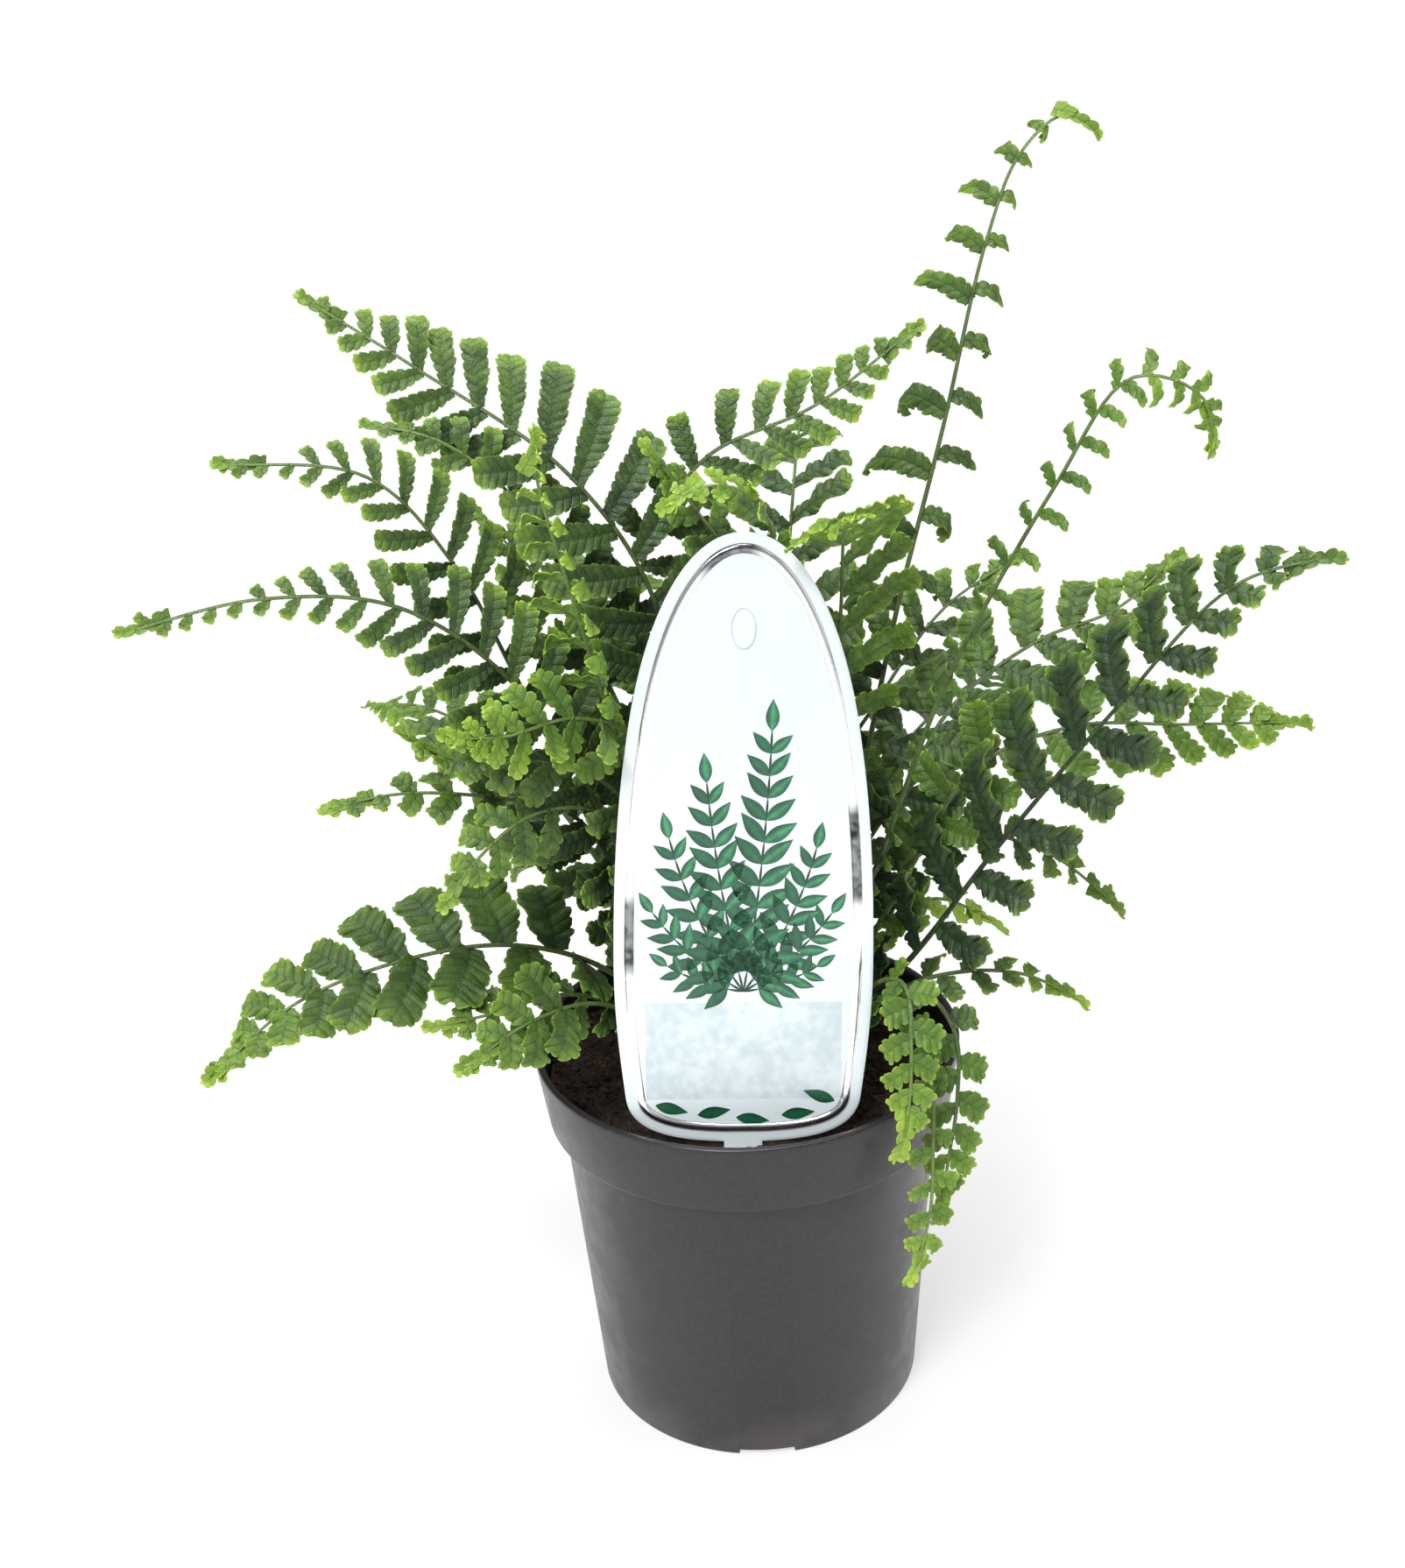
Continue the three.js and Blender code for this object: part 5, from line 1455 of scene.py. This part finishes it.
class Crowd:
    """Sample points of all that is in place, to keep each new leaflet clear of it."""

    CLEARANCE, OWN_CLEARANCE, STEP, ROOM = 3.2, 2.7, 2.3, 60000

    def __init__(self, pot: Pot, crown: Crown, label: Label) -> None:
        """Starts with the pot, the crown and the label, which are tested by formula."""
        self.pot, self.crown, self.label = pot, crown, label
        self.points = np.full((self.ROOM, 3), 1e6)
        self.owners = np.full(self.ROOM, -1)
        self.ribs = np.zeros(self.ROOM, bool)
        self.stalks = np.zeros(self.ROOM, bool)
        self.count = 0

    def add(self, points: Array, owner: int, rib: Array | bool, stalk: bool) -> None:
        """Puts sample points of one frond in place."""
        part = slice(self.count, self.count + len(points))
        self.points[part], self.owners[part] = points, owner
        self.ribs[part], self.stalks[part] = rib, stalk
        self.count += len(points)

    def samples(self, leaflet: Leaflet) -> tuple[Array, Array]:
        """Points spread over a leaflet, and which of them lie on its rib."""
        rows = max(3, math.ceil(leaflet.length / self.STEP))
        columns = max(1, math.ceil(leaflet.half / self.STEP))
        along, across = np.arange(1, rows + 1) / rows, np.arange(-columns, columns + 1) / columns
        u, v = np.meshgrid(along, across, indexing="ij")
        return leaflet.at(u, v).reshape(-1, 3), (v == 0).ravel()

    def meets(self, points: Array, ribs: Array, owner: int) -> bool:
        """True where a point comes too near to another frond, or ribs of one frond to each other."""
        low, high = points.min(0) - self.CLEARANCE, points.max(0) + self.CLEARANCE
        held = self.points[: self.count]
        near = np.flatnonzero(np.all((held > low) & (held < high), axis=1))
        if not len(near):
            return False
        squared = np.sum((points[:, None] - held[near][None]) ** 2, -1)
        same = self.owners[near] == owner
        reach = np.where(same, self.OWN_CLEARANCE, self.CLEARANCE)
        skipped = same & (self.stalks[near] | ~(self.ribs[near] | ribs[:, None]))
        return bool(np.any((squared < reach**2) & ~skipped))

    def meets_fixture(self, points: Array) -> bool:
        """True where a point comes too near to the pot, the soil or the label."""
        radius, z = np.hypot(points[:, 0], points[:, 1]), points[:, 2]
        clear, rim = self.CLEARANCE, self.pot.rim_radius
        inner = self.pot.inner_radius(z) - clear
        in_wall = (radius < rim + clear) & (radius > inner) & (z < self.pot.height + 1)
        low = (radius < rim) & (z < self.crown.surface(radius) + clear)
        local = self.label.local(points)
        wide = np.abs(local[:, 0]) < self.label.half_width(local[:, 1]) + 1
        return bool(np.any(in_wall | low | (wide & (np.abs(local[:, 2]) < clear))))

    def fit(self, frame: Frames, hand: int, shape: Shape, owner: int) -> Leaflet | None:
        """Places a leaflet. It is turned up or down, then shortened, where it would meet something.

        Args:
            frame: The stalk's frame where it grows.
            hand: 1 on the stalk's right and -1 on its left.
            shape: Its sizes.
            owner: Its frond's number.

        Returns:
            The leaflet in place, or None where there is no room for one.
        """
        for share in (1, 0.78, 0.56):
            for turn in (0, 12, -12, 24, -24, 36, -36):
                tried = replace(shape, length=shape.length * share, lift=shape.lift + turn * DEG)
                leaflet = Leaflet(frame, hand, tried)
                points, ribs = self.samples(leaflet)
                if not (self.meets_fixture(points) or self.meets(points, ribs, owner)):
                    self.add(points, owner, ribs, False)
                    return leaflet
        return None


class FrondBuilder:
    """Builds one frond's mesh: its stalk, its scales, its leaflets and its crested tip."""

    SHORTEST, NARROWEST, HALF_PER_LENGTH, HALF_PER_SPACING = 4.0, 1.2, 0.115, 0.42
    FOOT_ANGLE, TIP_ANGLE, TWIST = 80.0, 52.0, 8.0
    LOWEST, LOWER_PITCH = 0.15, 8.5
    END_LENGTH, END_HALF, END_START = 6.5, 2.4, -9.0
    HALF_THICKNESS, RIB_THICKNESS = 0.15, 0.18  # millimetres, the rib's on top of the leaf's
    SWELL = 0.55  # how far the flesh swells between two veins, in millimetres
    GROOVE_WIDTH, GROOVE_DEPTH = 0.45, 0.35  # of the groove along the rib, in millimetres
    NEWER_PALER, TIP_PALER, LOWER_DARKER, UNEVEN = 0.24, 0.14, 0.18, 0.06  # steps of a leaflet's tone, the third one painted shade on low leaflets
    SCALE_REACH = 0.42  # share of the stalk that bears scales
    SIDES, PER_LOBE = 8, 6  # points round a stalk, and points along a lobe
    ROUND = np.array([0.0, 0.6, 0.92, 1.0, 0.92, 0.6])
    SAW = np.array([0.0, 0.5, 0.74, 0.66, 1.0, 0.8])

    def __init__(self, frond: Frond, index: int, stalk: Stalk, crowd: Crowd) -> None:
        """Takes the frond, its number, its stalk and what is already in place."""
        self.frond, self.index, self.stalk, self.crowd = frond, index, stalk, crowd
        self.rng = np.random.default_rng(100 + index)
        self.skin = Skin("light", "rib", "stalk", "brown")
        self.leaflets: list[tuple[Leaflet, float]] = []

    def station(self, t: Array) -> Array:
        """Shares of the stalk where leaflets stand, closer together towards the tip."""
        return lerp(self.frond.bare, 1, t * (1 + self.frond.crowding * (1 - t)))

    def length_share(self, x: float) -> float:
        """Leaflet length along the blade: short at the foot, longest a third of the way up, then less."""
        peak = 0.31
        share = (0.55 + 1.6 * x) * (1 - x) ** self.frond.taper
        return share / ((0.55 + 1.6 * peak) * (1 - peak) ** self.frond.taper)

    def edges(self, side: int) -> Array:
        """Shares of the stalk between which the leaflets of one side stand, the right half a step behind."""
        pairs = self.frond.pairs
        count = np.arange(pairs + 1)
        t = (count + 0.5) / (pairs + 0.5) if side else count / pairs
        shares = self.station(np.minimum(t, 1))
        shares[-1] *= 0.995
        return shares

    def shape(self, count: int, x: float, spacing: float, hand: int) -> Shape:
        """Sizes of one leaflet.

        Args:
            count: Its number on the frond.
            x: Where it stands, from 0 at the blade's foot to 1 at its tip.
            spacing: Room along the stalk.
            hand: The stalk's side, 1 or -1.

        Returns:
            Its sizes.
        """
        frond, salt = self.frond, self.index
        longest = frond.span * (frond.right if hand > 0 else 1) * (1 + 0.07 * wobble(count, 0, salt))
        length = max(self.SHORTEST, longest * self.length_share(x))
        angle = (lerp(self.FOOT_ANGLE, self.TIP_ANGLE, x) + 5 * wobble(count, 1, salt)) * DEG
        free = (self.NARROWEST + self.HALF_PER_LENGTH * length) * frond.broad
        return Shape(
            length=length,
            half=min(free, self.HALF_PER_SPACING * spacing * math.sin(angle)),
            angle=angle,
            lift=(frond.lift + 6 * wobble(count, 2, salt)) * DEG,
            twist=-hand * (self.TWIST + 9 * wobble(count, 3, salt)) * DEG,
            curl=max(2.0, frond.curl * (1 + 0.3 * wobble(count, 2, salt + 0.5))) * DEG,
            offset=float(self.stalk.half_width(lerp(frond.bare, 1, max(x, 0)))),
            sweep=frond.sweep,
        )

    def grow(self) -> None:
        """Places the leaflets that the plain solid has, from the foot of the blade, left and right."""
        frond, stalk = self.frond, self.stalk
        spans = [self.edges(0), self.edges(1)]
        middles = [(shares[:-1] + shares[1:]) / 2 for shares in spans]
        frames = [stalk.frames(shares) for shares in middles]
        for k in range(frond.pairs):
            for side in (0, 1):
                x = (float(middles[side][k]) - frond.bare) / (1 - frond.bare)
                room = float(spans[side][k + 1] - spans[side][k]) * stalk.length
                self.place(frames[side].only(k), 1 if side else -1, 2 * k + side, x, room)

    def grow_lower(self) -> None:
        """Places short leaflets on the lower stalk where they have room, once all others are in place."""
        frond, stalk = self.frond, self.stalk
        shares = np.arange(frond.bare, self.LOWEST, -self.LOWER_PITCH / stalk.length)[1:]
        frames = stalk.frames(shares)
        for k, share in enumerate(shares):
            x = max((float(share) - frond.bare) / (1 - frond.bare), -0.22)
            for hand in (-1, 1):
                self.place(frames.only(k), hand, 50 + 2 * k + (hand + 1) // 2, x, self.LOWER_PITCH)

    def place(self, frame: Frames, hand: int, count: int, x: float, room: float) -> None:
        """Keeps one leaflet if there is a place for it."""
        leaflet = self.crowd.fit(frame, hand, self.shape(count, x, room, hand), self.index)
        if leaflet:
            self.leaflets.append((leaflet, x))

    def build(self, material: bpy.types.Material) -> bpy.types.Object:
        """Adds the leaflets, the tip, the stalk and its scales, and makes the piece."""
        for leaflet, x in self.leaflets:
            self.add_blade(leaflet, x, self.frond.habit.value)
        self.add_tip()
        self.add_stalk()
        self.add_scales()
        piece = self.skin.piece(self.frond.name.replace("frond", "leafy_frond"), material, crease=60)
        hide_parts(self.frond.name)
        return piece

    def outline(self, cut: Cut, length: float, half: float, start: float) -> tuple[Array, Array, Array]:
        """The two lobed edges of a leaflet, in millimetres from its foot.

        The plain edge runs along the body, whose half width rises from the foot, narrows to the waist and
        widens again to the fan, and then round the tip as a quarter of an ellipse. Each lobe has six
        points, moved outwards and forwards from it by the lobe's profile.

        Args:
            cut: How it is cut.
            length: Its length.
            half: Half of its width.
            start: Where it starts, below 0 to start inside the stalk.

        Returns:
            Along the rib for each point of the edge, the edges, (2, points, 2), and lobes counted.
        """
        cap = min(cut.cap * half, 0.45 * length)
        body, arc = length - start - cap, 1.11 * math.hypot(cap, half)
        lobes = max(2, round((body + arc) / cut.lobe))
        t = np.linspace(0, 1, self.PER_LOBE * lobes + 1)
        turn = body / (body + arc)
        bend = np.clip((t - turn) / (1 - turn), 0, 1) * math.pi / 2 * 0.96
        x = start + body * np.minimum(t / turn, 1) + cap * np.sin(bend)
        share = (x - start) / (length - start)
        width = lerp(cut.foot, 1, ease(share, 0, cut.rise)) * lerp(1, cut.waist, ease(share, 0.1, 0.55))
        width = width * (1 + cut.fan * ease(share, 0.6, 0.9)) * np.cos(bend) ** 0.6
        dx = np.gradient(x)
        lobe = lerp(self.ROUND, self.SAW, cut.saw)
        edges = []
        for side in (0, 1):
            y = half * width
            k = np.arange(len(t)) + self.PER_LOBE // 2 * side
            height = lobe[k % self.PER_LOBE] * self.rng.uniform(0.7, 1.25, lobes + 2)[k // self.PER_LOBE]
            scale = cut.depth * np.minimum(1, half * width / 1.8) * ease(t, 0.03, 0.16)
            push, forward = scale * (height - 0.6), 0.6 * cut.saw * scale * height
            dy = np.gradient(y)
            run = np.hypot(dx, dy) + 1e-9
            out_x = x + (-dy * push + dx * forward) / run
            out_y = np.maximum(y + (dx * push + dy * forward) / run, 0.1 * half)
            edges.append(np.stack([out_x, out_y], -1))
        run = x - start
        rib = start + run * run / (run + 0.5 * half * width + 1e-6)
        return rib, np.stack(edges), np.arange(len(t)) / self.PER_LOBE

    def add_blade(self, leaflet: Leaflet, x: float, cut: Cut, start: float = -0.6) -> None:
        """Adds one leaflet: a thin slab between its rib and its edges, with relief along its normal.

        The relief is a groove along the rib, waves along the edge, edges that turn up or down, a swelling
        between each two veins and a bend of the tip.

        Args:
            leaflet: Its place and size.
            x: Where it stands on the blade, from 0 at the foot to 1 at the tip.
            cut: How it is cut.
            start: Where it starts along its rib.
        """
        rng, half = self.rng, leaflet.half * cut.widen
        rib, edges, lobes = self.outline(cut, leaflet.length, half, start)
        columns = np.array((0.2, 0.62, 1.0) if self.frond.habit is Habit.BEHIND else (0.12, 0.42, 0.76, 1.0))
        v = np.concatenate([-columns[::-1], [0], columns])[None]
        left, right = edges
        away, phase = np.abs(v), lobes[:, None] + 0.5 * (v > 0)
        edge_x = np.where(v < 0, left[:, :1], right[:, :1])
        edge_y = np.where(v < 0, left[:, 1:], right[:, 1:])
        along = lerp(rib[:, None], edge_x, away)
        across = np.sign(v) * away * edge_y
        u = along / leaflet.length
        first, second = rng.random(2) * 2 * math.pi
        rate = rng.uniform(1.6, 2.6)
        waves = np.where(v < 0, np.sin(phase * rate + first), np.sin(phase * (rate + 0.3) + second))
        size = min(1.3, half / 3.0)
        groove = np.exp(-((across / self.GROOVE_WIDTH) ** 2))
        relief = -self.GROOVE_DEPTH * size * groove
        relief = relief + (cut.ruffle * size * waves + cut.arch * half) * away**2 * ease(u, 0.05, 0.3)
        swell = 0.5 - 0.5 * np.cos(2 * math.pi * phase)
        relief = relief + self.SWELL * size * swell * away * (1.3 - away) * ease(u, 0.05, 0.2)
        relief = relief - cut.droop * leaflet.length * rng.uniform(-0.2, 1.6) * ease(u, 0.55, 1.0) ** 2
        normals = leaflet.normals(u)
        middle = leaflet.at(u, across / leaflet.half) + normals * relief[..., None]
        thick = (self.HALF_THICKNESS + self.RIB_THICKNESS * groove)[..., None]
        points = np.stack([middle + normals * thick, middle - normals * thick])
        tone = self.frond.tone + self.NEWER_PALER * ease(x, 0.5, 1.0) + self.TIP_PALER * ease(x, 1.0, 1.2)
        # painted shade: leaflets low on the blade, deep inside the plant, are darkened
        tone = tone - self.LOWER_DARKER * (1 - ease(x, -0.1, 0.45)) + rng.uniform(-self.UNEVEN, self.UNEVEN)
        # the tip is paler partly by its own colour and partly by painted light shining through the leaf
        light = tone + cut.tip_pale_and_painted_light * ease(u, 0.72, 1.0) - 0.06 * (1 - ease(u, 0.0, 0.4))
        light = light + cut.edge_light * away**4 * ease(u, 0.1, 0.5)
        brown = 0.6 * (rng.random() < 0.06) * ease(u, 0.93, 1.0)
        rows, width = u.shape
        two = (2, rows, width)
        self.skin.add(
            points,
            [slab_faces(rows, width, flip=leaflet.hand < 0)],
            place=np.broadcast_to(np.stack(np.broadcast_arrays(phase, v), -1), (*two, 2)),
            light=np.broadcast_to(np.clip(light, 0, 1), two),
            rib=np.broadcast_to((away < 0.01) * (1.0 - 0.5 * u), two),
            brown=np.broadcast_to(brown, two),
        )

    def add_tip(self) -> None:
        """Adds the end of the blade, where the last leaflets run together, and often a fork beside it."""
        frame, size = self.stalk.frames(np.array([1.0])).only(0), math.sqrt(self.frond.broad)
        length, half = self.END_LENGTH * size, self.END_HALF * size
        blades = [(-1, 0.0, 1.0, self.END_START)]
        if self.rng.random() < 0.5:
            blades += [(-1, 38.0, 0.6, -1.0), (1, 30.0, 0.7, -1.0)]
        for hand, angle, share, start in blades:
            shape = Shape(length * share, half * share, angle * DEG, curl=14 * DEG)
            self.add_blade(Leaflet(frame, hand, shape), 1.25, Habit.END.value, start)

    def add_stalk(self) -> None:
        """Adds the stalk: an ellipse with a groove in its upper side, carried along the frond's line."""
        rings = max(8, round(self.stalk.length / 3.2))
        share = np.linspace(0, 1, rings)
        frames = self.stalk.frames(share)
        around = np.arange(self.SIDES) * 2 * math.pi / self.SIDES
        groove = 1 - 0.3 * np.exp(-(((around - math.pi / 2) / 0.45) ** 2))
        wide = self.stalk.half_width(share)[:, None, None] * (np.cos(around) * groove)[None, :, None]
        deep = self.stalk.half_depth(share)[:, None, None] * (np.sin(around) * groove)[None, :, None]
        points = frames.at[:, None] + frames.right[:, None] * wide + frames.up[:, None] * deep
        light = np.clip(self.frond.tone + 0.35 * ease(share, 0.6, 1.0), 0, 1)
        brown = 0.7 * (1 - ease(share, 0.04, 0.28))
        values = {"light": light, "brown": brown}
        spread = {name: np.broadcast_to(held[:, None], points.shape[:2]) for name, held in values.items()}
        self.skin.add(points, tube_faces(rings, self.SIDES), stalk=1.0, **spread)

    def add_scales(self) -> None:
        """Adds the papery scales on the lower stalk, thick at its foot and fewer further up."""
        rng, stalk = self.rng, self.stalk
        count = round(stalk.length * self.SCALE_REACH * 0.75)
        share = self.SCALE_REACH * rng.random(count) ** 1.7 + 0.02
        frames = stalk.frames(share)
        bearing = (rng.random(count) * 2 * math.pi)[:, None]
        out = frames.right * np.cos(bearing) + frames.up * np.sin(bearing)
        foot = frames.at + out * (stalk.half_width(share) * 0.85)[:, None]
        lean = rng.uniform(12, 45, count)[:, None] * DEG
        along = frames.along * np.cos(lean) + out * np.sin(lean)
        side = np.cross(out, frames.along)
        small = 1 - 0.6 * share / self.SCALE_REACH
        length, width = small * rng.uniform(1.8, 4.2, count), small * rng.uniform(0.5, 0.9, count)
        sizes = np.stack([length, width, 0.16 * small], -1)
        points, faces = spindles(foot, along, side, sizes, bend=-0.12)
        self.skin.add(points, [faces], stalk=1.0, light=0.2, brown=1.0)


# The photograph's view

def posed(right: Array, up: Array, back: Array, at: Sequence[float]) -> Matrix:
    """Place of an object that stands at a point, with its own axes turned right, up and back."""
    frame = np.eye(4)
    frame[:3] = np.stack([right, up, back, np.array(at, float)], -1)
    return Matrix(frame.tolist())


@dataclass(frozen=True)
class Studio:
    """Camera, floor and soft light."""

    image: tuple[int, int] = (1604, 1790)
    focal: float = 2280.0  # pixels
    position: tuple[float, float, float] = (-0.0094, -0.5321, 0.4323)
    pitch: float = 23.3
    tilt: float = -2.95
    sensor: float = 36.0
    floor_size: float = 120.0

    def add_camera(self) -> None:
        """Looks down at the photograph's angle, with the frame turned by its small tilt."""
        data = bpy.data.cameras.new("camera")
        data.sensor_width = self.sensor
        data.lens = self.focal / max(self.image) * self.sensor
        data.clip_start, data.clip_end = 0.01, 100.0
        e, roll = self.pitch * DEG, self.tilt * DEG
        ahead = np.array([0, math.cos(e), -math.sin(e)])
        level = np.array([1.0, 0, 0])
        upright = np.cross(level, ahead)
        right, up = turned_pair(level, upright, roll)
        camera = new_object("camera", data)
        camera.matrix_world = posed(right, up, -ahead, self.position)
        bpy.context.scene.camera = camera

    def add_floor(self, material: bpy.types.Material) -> None:
        """A wide plain sheet of paper."""
        half = self.floor_size / 2
        mesh = bpy.data.meshes.new("floor")
        corners = [(-half, -half, 0), (half, -half, 0), (half, half, 0), (-half, half, 0)]
        mesh.from_pydata(corners, [], [(0, 1, 2, 3)])
        mesh.materials.append(material)
        new_object("floor", mesh)

    def add_light(self, name: str, at: Sequence[float], size: float, power: float) -> None:
        """A square soft box that faces the plant."""
        data = bpy.data.lights.new(name, "AREA")
        data.shape, data.size, data.energy = "SQUARE", size, power
        back = unit(np.array(at, float) - np.array([0, 0, 0.17]))
        right = unit(np.cross([0, 0, 1.0], back)) if abs(back[2]) < 0.99 else np.array([1.0, 0, 0])
        new_object(name, data).matrix_world = posed(right, np.cross(back, right), back, at)

    def build(self, paper: bpy.types.Material) -> None:
        """Sets up the whole studio."""
        self.add_camera()
        self.add_floor(paper)
        self.add_light("key", (-0.5, -1.1, 1.4), 0.6, 25.0)
        self.add_light("fill", (1.1, -0.7, 0.9), 1.2, 2.0)
        self.add_light("top", (0.0, 0.1, 1.6), 0.7, 16.0)
        world = bpy.data.worlds.new("studio")
        world.use_nodes = True
        world.node_tree.nodes["Background"].inputs[0].default_value = (1, 1, 1, 1)
        world.node_tree.nodes["Background"].inputs[1].default_value = 0.3
        scene = bpy.context.scene
        scene.world = world
        scene.view_settings.view_transform = "Standard"


@dataclass
class Fern:
    """The whole potted plant."""

    pot: Pot = field(default_factory=Pot)
    crown: Crown = field(default_factory=Crown)
    label: Label = field(default_factory=Label)

    def build(self, mound: bpy.types.Object) -> None:
        """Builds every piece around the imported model.

        Args:
            mound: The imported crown, which is seen between its scales and gets only a material.
        """
        effects = {"mottle": mottle_effect(), "grain": grain_effect()}
        bark = CrownBark("crown_bark", effects).material
        soil_finish = PottingSoil("potting_soil", effects).material
        self.pot.build(PotPlastic("pot_plastic", effects).material)
        soil = Soil(self.pot, self.crown)
        soil.build(soil_finish, self.label)
        soil.build_crumbs(soil_finish, self.label)
        self.crown.build(bark)
        mound.data.materials.clear()
        mound.data.materials.append(CrownBark("crown_mound", effects).material)
        self.label.build(LabelGloss("label_gloss", effects).material)
        self.label.build_print(PrintedLeaf("printed_leaf", effects).material)
        self.build_fronds(effects)
        Studio().build(FloorPaper("floor_paper", effects).material)

    def build_fronds(self, effects: dict[str, bpy.types.NodeTree]) -> None:
        """Puts every stalk in place, then grows the fronds one after another."""
        old = LeafTissue("leaf_tissue", effects).material
        new = YoungLeafTissue("young_leaf_tissue", effects).material
        crowd = Crowd(self.pot, self.crown, self.label)
        stalks = [Stalk(frond, self.crown) for frond in FRONDS]
        for owner, stalk in enumerate(stalks):
            count = math.ceil(stalk.length / Crowd.STEP)
            crowd.add(stalk.frames(np.arange(count + 1) / count).at, owner, False, True)
        builders = [FrondBuilder(frond, index, stalks[index], crowd) for index, frond in enumerate(FRONDS)]
        for builder in builders:
            builder.grow()
        for builder in builders:
            builder.grow_lower()
        for builder in builders:
            builder.build(new if builder.frond.young else old)


def main() -> None:
    """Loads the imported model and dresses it."""
    logging.basicConfig(level=logging.INFO, format="%(name)s: %(message)s")
    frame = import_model()
    Fern().build(frame["nodes"]["crown"])


if __name__ == "__main__":
    main()
